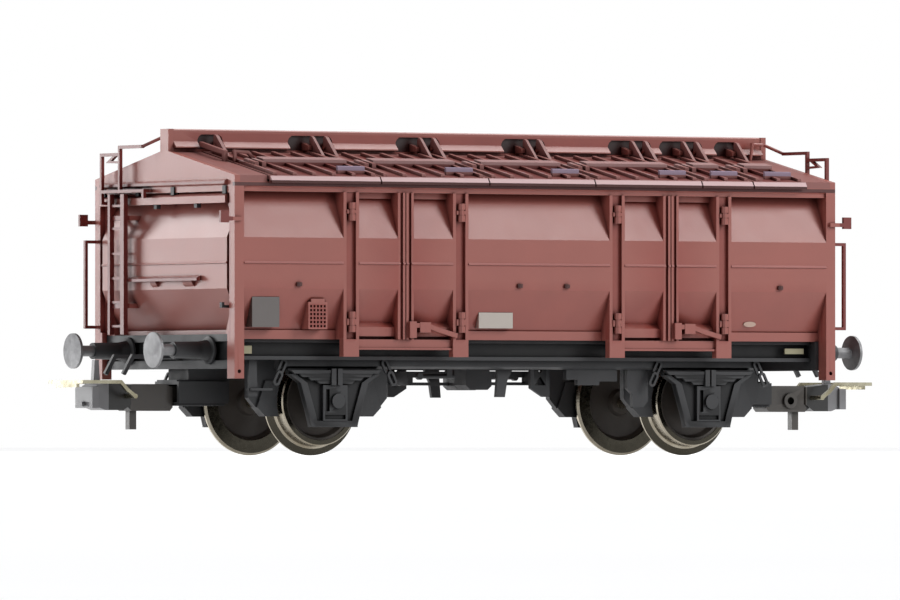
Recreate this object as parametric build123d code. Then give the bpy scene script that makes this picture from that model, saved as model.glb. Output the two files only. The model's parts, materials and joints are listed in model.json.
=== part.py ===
from build123d import *
import math
import os

# Hinged-roof wagon, small-scale model, two axles. Millimetres, +X along the wagon, +Z up,
# z = 0 at the underside of the wheel flanges. Side -1 is the near side, +1 the far side.

# running gear
TREAD_R = 5.75
FLANGE_DEPTH = 1.1
AXLE_Z = TREAD_R + FLANGE_DEPTH
AXLE_X = 28.2
AXLE_R = 0.75
WHEEL_BACK = 7.15
WHEEL_FACE = 9.95
FLANGE_T = 0.75
RIM_T = 0.75
JOURNAL_R = 0.6
JOURNAL_END = 13.4
JOURNAL_GAP = 0.05

# body box
POST_OUT = 17.4
END_X = 45.3
CORNER_T = 1.4
CORNER_W = 1.8
WALL_T = 1.2
DOOR_POST_X = (11.8, 28.1)
DOOR_POST_W = 2.3
STRIP_X = 20.0
STRIP_W = 1.1
LEAF_GAP = 0.15
Z_CORNER_FOOT = 9.7
Z_DOOR_POST_FOOT = 12.5
Z_PANEL_FOOT = 14.8
Z_KINK_LOW = 21.05
Z_BEAD = 24.4
Z_KINK_HIGH = 27.5
Z_PANEL_TOP = 33.3
RECESS_TOP = 2.4
RECESS_FOOT = 2.6
BEAD_H = 0.35
BEAD_OUT = 0.15

# roof
Z_EAVES_TOP = 34.5
Z_GABLE_FOOT = 35.3
Z_SHOULDER = 38.6
SHOULDER_Y = 1.0
RIDGE_Y = 0.9
Z_RIDGE = 41.45
Z_FLARE_TOP = 39.9
Z_FLARE_FOOT = 39.2
FLARE_Y = 1.6
ROOF_END_X = 40.5
ROOF_SLOPE = (Z_SHOULDER - Z_GABLE_FOOT) / (POST_OUT - SHOULDER_Y)

# underframe
Z_FLOOR = 14.7
FLOOR_T = 0.8
SOLEBAR_Y = 14.4
SOLEBAR_FOOT = 12.5
HEADSTOCK_X = 44.6
BUFFER_Y = 10.05
BUFFER_Z = 13.3
BUFFER_X = 52.96

NEAR, FAR = -1, 1
SIDES = (NEAR, FAR)
ENDS = (-1, 1)

os.makedirs("parts", exist_ok=True)


def block(x0, x1, y0, y1, z0, z1):
    """Box between the given planes, in any order."""
    size = Box(abs(x1 - x0), abs(y1 - y0), abs(z1 - z0))
    return Pos((x0 + x1) / 2, (y0 + y1) / 2, (z0 + z1) / 2) * size


def slice_x(points, x0, x1, side=1):
    """Outline of (y, z) points pushed along X, y measured outward on the given side."""
    face = make_face(Polyline([(x0, side * y, z) for y, z in points], close=True))
    return extrude(face, amount=x1 - x0, dir=(1, 0, 0))


def slice_y(points, y0, y1):
    """Outline of (x, z) points pushed along Y."""
    face = make_face(Polyline([(x, y0, z) for x, z in points], close=True))
    return extrude(face, amount=y1 - y0, dir=(0, 1, 0))


def rod(start, end, radius):
    """Round rod between two points."""
    axis = Vector(*end) - Vector(*start)
    return Plane(origin=start, z_dir=axis) * Cylinder(radius, axis.length, align=(Align.CENTER, Align.CENTER, Align.MIN))


def wire(points, radius):
    """Bent round rod through the points, a ball at each bend."""
    body = None
    for start, end in zip(points, points[1:]):
        length = rod(start, end, radius)
        body = length if body is None else body + length
    for bend in points[1:-1]:
        body = body + Pos(*bend) * Sphere(radius)
    return body


def turned(shape):
    """The same piece turned half round the wagon's upright axis."""
    return Rot(0, 0, 180) * shape


def save(name, solids):
    """Write one sub-part; several solids become one compound."""
    shapes = []
    for item in solids:
        shapes.extend(item.solids())
    shape = shapes[0] if len(shapes) == 1 else Compound(children=shapes)
    shape.label = name
    export_step(shape, f"parts/{name}.step")


# y, z of the bulged wall, outer line from foot to top
OUTER = [(POST_OUT - RECESS_FOOT, Z_PANEL_FOOT), (POST_OUT, Z_KINK_LOW), (POST_OUT, Z_KINK_HIGH),
         (POST_OUT - RECESS_TOP, Z_PANEL_TOP)]
INNER = [(y - WALL_T, z) for y, z in OUTER]


def bulged(points_out, x0, x1, side):
    """A wall panel as thick as the wall, with its thin bead."""
    panel = slice_x(points_out + INNER[::-1], x0, x1, side)
    bead = slice_x([(POST_OUT - 0.1, Z_BEAD - BEAD_H / 2), (POST_OUT + BEAD_OUT, Z_BEAD - BEAD_H / 4),
                    (POST_OUT + BEAD_OUT, Z_BEAD + BEAD_H / 4), (POST_OUT - 0.1, Z_BEAD + BEAD_H / 2)], x0, x1, side)
    return panel + bead


# side walls: name, x0, x1 of the plain panels
END_PANEL = (DOOR_POST_X[1] + DOOR_POST_W / 2, END_X - CORNER_T)
MID_PANEL = DOOR_POST_X[0] - DOOR_POST_W / 2
panels = []
for side in SIDES:
    panels.append(bulged(OUTER, -MID_PANEL, MID_PANEL, side))
    panels.append(bulged(OUTER, -END_PANEL[1], -END_PANEL[0], side))
    panels.append(bulged(OUTER, END_PANEL[0], END_PANEL[1], side))
save("side_panels", panels)

# door leaves, each with a flush strip at the meeting edge, a top rail and a slanted sill
LEAF_TOP_RAIL = 0.9
LEAF_SILL = 1.0
POST_LINE = [(POST_OUT, Z_PANEL_FOOT), (POST_OUT, Z_PANEL_TOP)]
leaves = []
for side in SIDES:
    for door in ENDS:
        for x0, x1, strip0, strip1 in (
                (DOOR_POST_X[0] + DOOR_POST_W / 2, STRIP_X - LEAF_GAP / 2, STRIP_X - STRIP_W, STRIP_X - LEAF_GAP / 2),
                (STRIP_X + LEAF_GAP / 2, DOOR_POST_X[1] - DOOR_POST_W / 2, STRIP_X + LEAF_GAP / 2, STRIP_X + STRIP_W)):
            xa, xb = sorted((door * x0, door * x1))
            sa, sb = sorted((door * strip0, door * strip1))
            leaf = bulged(OUTER, xa, xb, side)
            leaf += slice_x(POST_LINE + INNER[::-1], sa, sb, side)
            leaf += slice_x([(POST_OUT - 1.6, Z_PANEL_TOP), (POST_OUT - 1.6, Z_PANEL_TOP - LEAF_TOP_RAIL),
                             (POST_OUT - 3.2, Z_PANEL_TOP - LEAF_TOP_RAIL), (POST_OUT - 3.2, Z_PANEL_TOP)],
                            xa, xb, side)
            leaf += slice_x([(POST_OUT - 3.0, Z_PANEL_FOOT), (POST_OUT - 0.9, Z_PANEL_FOOT),
                             (POST_OUT - 0.9, Z_PANEL_FOOT + LEAF_SILL), (POST_OUT - 2.2, Z_PANEL_FOOT + LEAF_SILL + 0.5),
                             (POST_OUT - 3.0, Z_PANEL_FOOT + LEAF_SILL)], xa, xb, side)
            leaves.append(leaf)
save("door_leaves", leaves)

# posts: straight outside, following the wall inside
posts = []
sills = []
for side in SIDES:
    for door in ENDS:
        for x in DOOR_POST_X:
            body = slice_x(POST_LINE + INNER[::-1], door * x - DOOR_POST_W / 2, door * x + DOOR_POST_W / 2, side)
            foot = block(door * x - DOOR_POST_W / 2, door * x + DOOR_POST_W / 2, side * (POST_OUT - 1.0), side * POST_OUT,
                         Z_DOOR_POST_FOOT, Z_PANEL_FOOT + 0.2)
            posts.append(body + foot)
        inner_x = DOOR_POST_X[0] + DOOR_POST_W / 2
        outer_x = DOOR_POST_X[1] - DOOR_POST_W / 2
        sills.append(block(door * inner_x, door * outer_x, side * (POST_OUT - 2.6), side * (POST_OUT - 0.4),
                           Z_PANEL_FOOT - 1.7, Z_PANEL_FOOT))
save("door_posts", posts)
save("door_sills", sills)

# corner posts, each with a thin web that closes the corner behind it
CORNER_WEB = 0.6
corner = []
for side in SIDES:
    for end in ENDS:
        post = block(end * (END_X - CORNER_T), end * END_X, side * (POST_OUT - CORNER_W), side * POST_OUT,
                     Z_CORNER_FOOT, Z_EAVES_TOP)
        x0, x1 = sorted((end * (END_X - CORNER_T), end * (END_X - CORNER_T + CORNER_WEB)))
        web = slice_x([(POST_OUT - 1.0, Z_PANEL_FOOT), (POST_OUT - 1.0, Z_PANEL_TOP)] + INNER[::-1], x0, x1, side)
        hole = Pos(end * (END_X - CORNER_T / 2), side * POST_OUT, Z_CORNER_FOOT + 0.9) * Rot(90, 0, 0) * Cylinder(0.25, 0.8)
        corner.append(post + web - hole)
save("corner_posts", corner)

# end walls: the same bulge, seen along Y
END_HALF = POST_OUT - CORNER_W
ends = []
for end in ENDS:
    outer = [(END_X - RECESS_FOOT, Z_PANEL_FOOT), (END_X, Z_KINK_LOW), (END_X, Z_KINK_HIGH), (END_X - RECESS_TOP, Z_PANEL_TOP)]
    inner = [(x - WALL_T, z) for x, z in outer]
    wall = slice_y([(end * x, z) for x, z in outer + inner[::-1]], -END_HALF, END_HALF)
    x0, x1 = sorted((end * (END_X - 8), end * (END_X + 1)))
    inside = slice_x(INNER + [(-y, z) for y, z in INNER[::-1]], x0, x1)
    ends.append(wall & inside)
save("end_walls", ends)

# gables with the ridge plate above
GABLE_T = 0.8
gables = []
for end in ENDS:
    outline = [(POST_OUT - CORNER_W, Z_PANEL_TOP), (POST_OUT - CORNER_W, Z_EAVES_TOP), (POST_OUT, Z_EAVES_TOP),
               (POST_OUT, Z_GABLE_FOOT), (SHOULDER_Y, Z_SHOULDER), (SHOULDER_Y, Z_RIDGE)]
    outline = outline + [(-y, z) for y, z in outline[::-1]]
    x0, x1 = sorted((end * (END_X - GABLE_T), end * END_X))
    gables.append(slice_x(outline, x0, x1))
save("gables", gables)

# ridge beam
ridge_half = [(RIDGE_Y, Z_RIDGE), (RIDGE_Y, Z_FLARE_TOP), (FLARE_Y, Z_FLARE_FOOT), (FLARE_Y, Z_FLARE_FOOT - 0.15),
              (RIDGE_Y, Z_FLARE_FOOT - 0.15), (RIDGE_Y, Z_SHOULDER - 0.8)]
ridge = ridge_half + [(-y, z) for y, z in ridge_half[::-1]]
ridge_solid = slice_x(ridge, -(END_X - GABLE_T), END_X - GABLE_T)
# notches of the flare strip at the hinge groups: x0, x1 on the near side
for x0, x1 in ((-41.2, -37.4), (-27.0, -21.2), (-10.9, -5.1), (5.1, 10.9), (21.3, 27.1), (29.4, 35.0), (37.4, 41.2)):
    notch = block(x0, x1, -3, -RIDGE_Y, Z_SHOULDER - 1, Z_FLARE_TOP + 0.01)
    ridge_solid = ridge_solid - notch - turned(notch)
save("ridge_beam", [ridge_solid])

# eaves beams on the posts
eaves = []
for side in SIDES:
    eaves.append(block(-(END_X - CORNER_T), END_X - CORNER_T, side * (POST_OUT - 3.4), side * POST_OUT,
                       Z_PANEL_TOP, Z_EAVES_TOP))
save("eaves_beams", eaves)


def roof_z(y):
    """Height of the fixed roof line at distance y from the middle."""
    return Z_SHOULDER - ROOF_SLOPE * (y - SHOULDER_Y)


# fixed roof panels next to the gables
ROOF_T = 0.7
roof_ends = []
for side in SIDES:
    for end in ENDS:
        x0, x1 = sorted((end * ROOF_END_X, end * (END_X - GABLE_T)))
        roof_ends.append(slice_x([(SHOULDER_Y, roof_z(SHOULDER_Y)), (POST_OUT - 0.1, roof_z(POST_OUT - 0.1)),
                                  (POST_OUT - 0.1, Z_EAVES_TOP), (SHOULDER_Y, Z_EAVES_TOP + 3.2)], x0, x1, side))
save("roof_end_panels", roof_ends)

# lids, near side from left to right: x0, x1
LIDS = [(-40.35, -24.25), (-24.05, -8.1), (-7.9, 7.9), (8.1, 24.2), (24.4, 32.1), (32.3, 40.35)]
LID_T = 0.55
LID_RAISE = 0.5
LID_IN = 2.3
LID_OUT = 18.3
PIVOT_Y = 1.9
PIVOT_Z = 39.3
ARM_T = 0.8
ARM_END = 7.2
RIB_PITCH = 2.75
RIB_W = 0.6
RIB_H = 0.3
PLANK_Y = 11.0


def lid(x0, x1):
    """One near-side lid, built on side +1 and mirrored by the caller's side."""
    def top(y):
        return roof_z(y) + LID_RAISE
    sheet = [(LID_IN, top(LID_IN)), (LID_OUT, top(LID_OUT)), (LID_OUT, top(LID_OUT) - 0.75),
             (LID_OUT - 0.8, top(LID_OUT) - 0.75), (LID_OUT - 0.8, top(LID_OUT - 0.8) - LID_T),
             (LID_IN, top(LID_IN) - LID_T)]
    body = slice_x(sheet, x0, x1)
    count = int((x1 - x0 - 1.2) // RIB_PITCH)
    for i in range(count + 1):
        x = x0 + 0.9 + i * (x1 - x0 - 1.8) / count
        body += slice_x([(LID_IN + 1, top(LID_IN + 1)), (LID_OUT - 0.6, top(LID_OUT - 0.6)),
                         (LID_OUT - 0.6, top(LID_OUT - 0.6) + RIB_H), (LID_IN + 1, top(LID_IN + 1) + RIB_H)],
                        x - RIB_W / 2, x + RIB_W / 2)
    body += slice_x([(PLANK_Y - 1.1, top(PLANK_Y - 1.1) - 0.1), (PLANK_Y + 1.1, top(PLANK_Y + 1.1) - 0.1),
                     (PLANK_Y + 1.1, top(PLANK_Y + 1.1) + 0.5), (PLANK_Y - 1.1, top(PLANK_Y - 1.1) + 0.5)],
                    x0 + 0.6, x1 - 0.6)
    for x in (x0 + 1.0, x1 - 1.0 - ARM_T):
        body += slice_x([(PIVOT_Y, PIVOT_Z + 0.55), (ARM_END, top(ARM_END) + 0.75), (ARM_END, top(ARM_END)),
                         (LID_IN, top(LID_IN) - 0.2), (PIVOT_Y - 0.2, PIVOT_Z - 0.5)], x, x + ARM_T)
        eye = Pos(x + ARM_T / 2, PIVOT_Y, PIVOT_Z) * Rot(0, 90, 0) * Cylinder(0.62, ARM_T)
        body += eye
        body -= Pos(x + ARM_T / 2, PIVOT_Y, PIVOT_Z) * Rot(0, 90, 0) * Cylinder(0.3, ARM_T + 2)
    return body


def to_near(shape):
    return mirror(shape, about=Plane.XZ)


pins = []
for i, (x0, x1) in enumerate(LIDS, start=1):
    near = to_near(lid(x0, x1))
    save(f"lid_near_{i}", [near])
    save(f"lid_far_{i}", [turned(near)])
    for x in (x0 + 1.0 + ARM_T / 2, x1 - 1.0 - ARM_T / 2):
        pin = Pos(x, -PIVOT_Y, PIVOT_Z) * Rot(0, 90, 0) * Cylinder(0.25, ARM_T + 0.9)
        for dx in (-1, 1):
            cheek = dx * (ARM_T / 2 + 0.25)
            pin += block(x + cheek - 0.15, x + cheek + 0.15, -(PIVOT_Y + 0.4), -RIDGE_Y, PIVOT_Z - 0.4, PIVOT_Z + 0.4)
        pin -= ridge_solid
        pins.append(pin)
        pins.append(turned(pin))
save("lid_hinge_pins", pins)

# load floor
save("load_floor", [block(-(END_X - RECESS_FOOT - WALL_T), END_X - RECESS_FOOT - WALL_T, -(POST_OUT - RECESS_FOOT - WALL_T),
                          POST_OUT - RECESS_FOOT - WALL_T, Z_FLOOR, Z_FLOOR + FLOOR_T)])

# solebars, channel open outward
solebars = []
SOLEBAR_X = HEADSTOCK_X - 1.2
for side in SIDES:
    points = [(SOLEBAR_Y - 1.6, SOLEBAR_FOOT), (SOLEBAR_Y, SOLEBAR_FOOT), (SOLEBAR_Y, SOLEBAR_FOOT + 0.4),
              (SOLEBAR_Y - 1.1, SOLEBAR_FOOT + 0.4), (SOLEBAR_Y - 1.1, Z_FLOOR - 0.4), (SOLEBAR_Y, Z_FLOOR - 0.4),
              (SOLEBAR_Y, Z_FLOOR), (SOLEBAR_Y - 1.6, Z_FLOOR)]
    solebars.append(slice_x(points, -SOLEBAR_X, SOLEBAR_X, side))
save("solebars", solebars)
solebar_zone = block(-60, 60, -20, 20, SOLEBAR_FOOT, Z_FLOOR)

headstocks = []
for end in ENDS:
    headstocks.append(block(end * SOLEBAR_X, end * HEADSTOCK_X, -(POST_OUT - CORNER_W), POST_OUT - CORNER_W, 10.9, Z_FLOOR))
save("headstocks", headstocks)

# buffers
sleeves = []
heads = []
for end in ENDS:
    for side in SIDES:
        at = (end * HEADSTOCK_X, side * BUFFER_Y, BUFFER_Z)
        sleeves.append(rod(at, (end * (HEADSTOCK_X + 5.2), side * BUFFER_Y, BUFFER_Z), 1.1)
                       + rod(at, (end * (HEADSTOCK_X + 0.6), side * BUFFER_Y, BUFFER_Z), 1.6))
        heads.append(rod((end * (HEADSTOCK_X + 5.2), side * BUFFER_Y, BUFFER_Z), (end * (BUFFER_X - 0.5), side * BUFFER_Y, BUFFER_Z), 0.65)
                     + rod((end * (BUFFER_X - 0.7), side * BUFFER_Y, BUFFER_Z), (end * BUFFER_X, side * BUFFER_Y, BUFFER_Z), 2.3))
save("buffer_sleeves", sleeves)
save("buffer_heads", heads)

# axle guards, boxes, springs and shackles
GUARD_Y = 12.6
GUARD_T = 0.7
guards = []
boxes = []
springs = []
shackles = []
for end in ENDS:
    for side in SIDES:
        x = end * AXLE_X
        plate = slice_y([(x - 6.8, 10.7), (x - 6.8, 12.5), (x + 6.8, 12.5), (x + 6.8, 10.7), (x + 4.1, 3.7), (x - 4.1, 3.7)],
                        side * GUARD_Y, side * (GUARD_Y + GUARD_T))
        window = block(x - 1.9, x + 1.9, side * (GUARD_Y - 1), side * (GUARD_Y + 2), 4.6, 9.2)
        guards.append(plate - window)
        box = block(x - 1.8, x + 1.8, side * (GUARD_Y - 0.9), side * 14.3, 4.7, 8.9)
        boxes.append(box - rod((x, side * (GUARD_Y - 2), AXLE_Z), (x, side * (JOURNAL_END + 0.2), AXLE_Z), JOURNAL_R + JOURNAL_GAP))
        springs.append(slice_y([(x - 6.2, 10.9), (x + 6.2, 10.9), (x + 2.0, 9.3), (x + 1.2, 8.9), (x - 1.2, 8.9), (x - 2.0, 9.3)],
                               side * (GUARD_Y + GUARD_T), side * (GUARD_Y + GUARD_T + 0.9)))
        for dx in (-1, 1):
            xs = x + dx * 7.3
            shackles.append(rod((xs - dx * 0.9, side * (GUARD_Y + 1.1), 10.6), (xs + dx * 0.9, side * (GUARD_Y + 1.1), 12.45), 0.35)
                            - solebar_zone)
save("axle_guards", guards)
save("axleboxes", boxes)
save("leaf_springs", springs)
save("spring_shackles", shackles)

# wheelsets
for end, name in ((-1, "left"), (1, "right")):
    x = end * AXLE_X
    axle = rod((x, -JOURNAL_END, AXLE_Z), (x, JOURNAL_END, AXLE_Z), JOURNAL_R)
    axle += rod((x, -WHEEL_FACE - 0.6, AXLE_Z), (x, WHEEL_FACE + 0.6, AXLE_Z), AXLE_R)
    discs = []
    tyres = []
    for side in SIDES:
        disc = rod((x, side * (WHEEL_BACK + 0.3), AXLE_Z), (x, side * (WHEEL_FACE - 0.5), AXLE_Z), TREAD_R - RIM_T)
        disc += rod((x, side * WHEEL_BACK, AXLE_Z), (x, side * (WHEEL_FACE + 0.2), AXLE_Z), 1.5)
        discs.append(disc - rod((x, side * 5, AXLE_Z), (x, side * 12, AXLE_Z), AXLE_R))
        tyre = rod((x, side * WHEEL_BACK, AXLE_Z), (x, side * WHEEL_FACE, AXLE_Z), TREAD_R)
        tyre += rod((x, side * WHEEL_BACK, AXLE_Z), (x, side * (WHEEL_BACK + FLANGE_T), AXLE_Z), TREAD_R + FLANGE_DEPTH)
        tyres.append(tyre - rod((x, side * 5, AXLE_Z), (x, side * 12, AXLE_Z), TREAD_R - RIM_T))
    save(f"axle_{name}", [axle])
    save(f"wheel_discs_{name}", discs)
    save(f"tyres_{name}", tyres)

# couplers: pocket under the floor, shaft with head swinging on an upright pivot, loop lifting on a cross pin
COUPLER_Z = 7.6
PIVOT_X = 42.5
LOOP_X = 52.0
LOOP_Z = 8.9
for end, name in ((-1, "left"), (1, "right")):
    shaft = block(end * (PIVOT_X + 0.0), end * 50.5, -1.6, 1.6, 6.0, 9.2)
    shaft += Pos(end * PIVOT_X, 0, COUPLER_Z) * Cylinder(1.6, 3.2)
    shaft += block(end * 50.4, end * 57.0, -1.1, 1.1, 6.1, 8.3)
    shaft += block(end * 56.0, end * 58.0, -2.6, 2.6, 6.1, 8.7)
    shaft += block(end * 49.4, end * 50.4, -0.5, 0.5, 3.2, 6.2)
    shaft -= Pos(end * PIVOT_X, 0, COUPLER_Z) * Cylinder(0.65, 8)
    shaft -= rod((end * LOOP_X, -6, LOOP_Z - 1.4), (end * LOOP_X, 6, LOOP_Z - 1.4), 0.4)
    save(f"coupler_head_{name}", [shaft])
    loop = wire([(end * LOOP_X, -4.6, LOOP_Z - 1.4), (end * LOOP_X, -4.6, LOOP_Z), (end * 62.1, -4.6, LOOP_Z),
                 (end * 62.1, 4.6, LOOP_Z), (end * LOOP_X, 4.6, LOOP_Z), (end * LOOP_X, 4.6, LOOP_Z - 1.4)], 0.35)
    loop += rod((end * LOOP_X, -4.6, LOOP_Z - 1.4), (end * LOOP_X, 4.6, LOOP_Z - 1.4), 0.35)
    save(f"coupler_loop_{name}", [loop])
pockets = []
for end in ENDS:
    pocket = block(end * 39.5, end * 46.5, -3.0, 3.0, 9.4, 10.9)
    pocket += block(end * 39.5, end * 43.4, -3.0, 3.0, 10.9, Z_FLOOR)
    pocket += Pos(end * PIVOT_X, 0, 8.0) * Cylinder(0.6, 4.4)
    pocket += Pos(end * PIVOT_X, 0, 5.6) * Cylinder(1.2, 0.5)
    pockets.append(pocket)
save("coupler_pockets", pockets)

# brake blocks on hangers, both sides of each wheel
blocks = []
for end in ENDS:
    for side in SIDES:
        for dx in (-1, 1):
            x = end * AXLE_X + dx * 6.6
            ring = rod((end * AXLE_X, side * 8.4, AXLE_Z), (end * AXLE_X, side * 9.7, AXLE_Z), 7.4)
            ring -= rod((end * AXLE_X, side * 8.0, AXLE_Z), (end * AXLE_X, side * 10.5, AXLE_Z), 6.2)
            shoe = ring & block(end * AXLE_X + dx * 4, end * AXLE_X + dx * 9, side * 8, side * 10, 5.0, 9.2)
            hanger = block(x + dx * 0.3, x + dx * 0.8, side * 8.6, side * 9.5, 8.0, Z_FLOOR)
            blocks.append(shoe + hanger)
save("brake_blocks", blocks)

# brake rigging amidships
rigging = block(-0.4, 0.4, -9.5, 9.5, 8.6, 9.4)
rigging += block(-20.5, 20.5, -0.4, 0.4, 8.6, 9.4)
rigging += block(-1.2, 1.2, -8.2, -7.4, 8.0, Z_FLOOR)
rigging += block(-1.2, 1.2, 7.4, 8.2, 8.0, Z_FLOOR)
save("brake_rigging", [rigging])

# ladders on the left end, far half, and turned for the other end
LADDER_X = END_X + 1.1
stiles = []
ladder = None
for y in (10.1, 13.5):
    stile = block(-(LADDER_X + 0.3), -(LADDER_X - 0.3), y - 0.35, y + 0.35, 15.3, 33.4)
    ladder = stile if ladder is None else ladder + stile
for i in range(6):
    z = 16.2 + i * 3.05
    ladder += rod((-LADDER_X, 10.1, z), (-LADDER_X, 13.5, z), 0.25)
for z in (17.9, 30.6):
    for y in (10.1, 13.5):
        ladder += block(-(LADDER_X), -(END_X - 2.2), y - 0.35, y + 0.35, z - 0.3, z + 0.3)
ladder -= ends[0]
save("ladders", [ladder, turned(ladder)])

rails = wire([(-LADDER_X, 15.2, 33.2), (-LADDER_X, 15.2, 38.7), (-LADDER_X, 10.9, 38.7)], 0.3)
rails += wire([(-LADDER_X, 10.9, 33.2), (-LADDER_X, 10.9, 39.4), (-LADDER_X, 6.4, 39.3), (-(END_X - 0.2), 0.4, 40.1)], 0.3)
rails += block(-(LADDER_X + 0.3), -END_X, 6.8, 15.6, 33.5, 33.9)
rails -= gables[0]
save("ladder_rails", [rails, turned(rails)])

# bar across each end with its brackets, and a short lower bar
bar = block(-(END_X + 0.6), -(END_X + 0.0), -15.4, 15.4, 32.4, 33.1)
for y in (-13.5, -3.0, 8.0):
    bar += block(-(END_X + 0.3), -(END_X - 2.5), y - 0.35, y + 0.35, 32.5, 33.0)
bar -= ends[0]
low = block(-(END_X + 1.1), -(END_X + 0.6), -6.0, 9.5, 22.1, 22.6)
for y in (-1.6, 4.6):
    low += block(-(END_X + 1.1), -(END_X - 0.2), y - 0.4, y + 0.4, 21.8, 22.3)
low -= ends[0]
save("end_bars", [bar, low, turned(bar), turned(low)])

# lamp irons on the corner posts
irons = []
for end in ENDS:
    for side in SIDES:
        iron = block(end * END_X, end * (END_X + 2.2), side * (POST_OUT - 1.2), side * (POST_OUT - 0.6), 29.4, 29.9)
        iron += block(end * (END_X + 1.6), end * (END_X + 2.3), side * (POST_OUT - 1.7), side * (POST_OUT - 0.1), 29.4, 30.7)
        irons.append(iron)
save("lamp_irons", irons)

# upright handles beside two corners
handle = wire([(-END_X, 16.6, 27.2), (-(END_X + 1.7), 16.6, 27.2), (-(END_X + 1.7), 16.6, 16.1),
               (-END_X, 16.6, 16.1)], 0.25)
save("corner_handles", [handle, turned(handle)])

# door hinges: two per leaf, at the door posts
hinges = []
latches = []
for side in SIDES:
    for door in ENDS:
        for x, toward in ((DOOR_POST_X[0] + DOOR_POST_W / 2, 1), (DOOR_POST_X[1] - DOOR_POST_W / 2, -1)):
            for z in (17.6, 30.4):
                xc = door * (x + toward * 0.45)
                hinges.append(rod((xc, side * (POST_OUT + 0.1), z - 1.2), (xc, side * (POST_OUT + 0.1), z + 1.2), 0.4))
        xl = door * STRIP_X
        sx = -side
        latch = block(xl + sx * 0.2, xl + sx * 4.2, side * POST_OUT, side * (POST_OUT + 0.5), 15.9, 16.7)
        latch += block(xl - 0.6, xl + 0.6, side * POST_OUT, side * (POST_OUT + 0.6), 15.5, 17.2)
        latches.append(latch)
save("door_hinges", hinges)
save("door_latches", latches)

# rope hooks, card boxes and blank plates on the side walls
hooks = []
for side in SIDES:
    for x in (-35.9, -3.0, 4.1, 36.7):
        hooks.append(block(x - 0.5, x + 0.5, side * POST_OUT, side * (POST_OUT + 0.5), 21.4, 21.8))
save("rope_hooks", hooks)


def on_foot(x0, x1, z0, z1, thick):
    """Plate lying on the lower slanted band of the near wall."""
    def y(z):
        return POST_OUT - RECESS_FOOT * (Z_KINK_LOW - z) / (Z_KINK_LOW - Z_PANEL_FOOT)
    return slice_x([(y(z0), z0), (y(z0) + thick, z0), (y(z1) + thick, z1), (y(z1), z1)], x0, x1, NEAR)


card = on_foot(-34.6, -32.2, 15.6, 19.2, 0.5)
save("card_boxes", [card, turned(card)])
plates = [on_foot(-42.9, -39.2, 16.1, 19.9, 0.12), on_foot(-8.6, -3.8, 16.3, 18.1, 0.12)]
save("blank_plates", plates + [turned(p) for p in plates])

# foot steps under two corners
step = block(-41.5, -38.5, -13.8, -12.4, 6.6, 6.9)
for x in (-41.3, -38.7):
    step += block(x - 0.2, x + 0.2, -13.2, -12.8, 6.7, SOLEBAR_FOOT)
save("foot_steps", [step, turned(step)])
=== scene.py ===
import bpy
import bmesh
import json
from math import atan2, cos, pi, radians, sin
from mathutils import Matrix, Vector

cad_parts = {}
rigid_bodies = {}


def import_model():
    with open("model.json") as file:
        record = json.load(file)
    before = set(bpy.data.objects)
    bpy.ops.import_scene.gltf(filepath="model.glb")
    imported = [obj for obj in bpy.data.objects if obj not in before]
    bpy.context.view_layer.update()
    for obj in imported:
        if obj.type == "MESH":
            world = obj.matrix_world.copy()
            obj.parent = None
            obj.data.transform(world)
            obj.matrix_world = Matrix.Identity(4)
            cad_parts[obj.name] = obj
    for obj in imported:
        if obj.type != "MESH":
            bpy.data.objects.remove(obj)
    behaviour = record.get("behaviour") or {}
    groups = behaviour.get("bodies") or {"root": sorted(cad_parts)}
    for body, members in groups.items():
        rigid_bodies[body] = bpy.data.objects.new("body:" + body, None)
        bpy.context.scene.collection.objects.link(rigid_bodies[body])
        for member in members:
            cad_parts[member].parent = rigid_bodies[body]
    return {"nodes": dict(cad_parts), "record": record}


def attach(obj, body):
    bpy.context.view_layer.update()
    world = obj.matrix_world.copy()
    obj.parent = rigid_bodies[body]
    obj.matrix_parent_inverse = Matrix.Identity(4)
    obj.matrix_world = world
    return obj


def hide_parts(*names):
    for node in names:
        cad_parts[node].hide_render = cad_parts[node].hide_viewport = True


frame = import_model()
scene = bpy.context.scene
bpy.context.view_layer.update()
MM = 0.001
nodes = frame["nodes"]


# materials

def add_node(tree, kind):
    return tree.nodes.new("ShaderNode" + kind)


def feed(tree, socket, value):
    """A number, a colour or the output of another node into a socket."""
    if isinstance(value, (int, float)):
        socket.default_value = value
    elif isinstance(value, tuple):
        socket.default_value = (*value, 1.0)
    else:
        tree.links.new(value, socket)


def new_material(name):
    mat = bpy.data.materials.new(name)
    mat.use_nodes = True
    tree = mat.node_tree
    tree.nodes.clear()
    out = add_node(tree, "OutputMaterial")
    shader = add_node(tree, "BsdfPrincipled")
    tree.links.new(shader.outputs["BSDF"], out.inputs["Surface"])
    return mat, tree, shader


def noise(tree, scale, detail, rough=0.55):
    coord = add_node(tree, "TexCoord")
    tex = add_node(tree, "TexNoise")
    tex.inputs["Scale"].default_value = scale
    tex.inputs["Detail"].default_value = detail
    tex.inputs["Roughness"].default_value = rough
    tree.links.new(coord.outputs["Object"], tex.inputs["Vector"])
    return tex.outputs["Fac"]


def ramp(tree, source, stops):
    node = add_node(tree, "ValToRGB")
    while len(node.color_ramp.elements) < len(stops):
        node.color_ramp.elements.new(0.5)
    for element, (at, color) in zip(node.color_ramp.elements, stops):
        element.position = at
        element.color = (*color, 1.0)
    tree.links.new(source, node.inputs["Fac"])
    return node.outputs["Color"]


def grey(value):
    return (value,) * 3


def mix(tree, factor, a, b):
    node = add_node(tree, "Mix")
    node.data_type = "RGBA"
    for place, value in ((0, factor), (6, a), (7, b)):
        feed(tree, node.inputs[place], value)
    return node.outputs[2]


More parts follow.
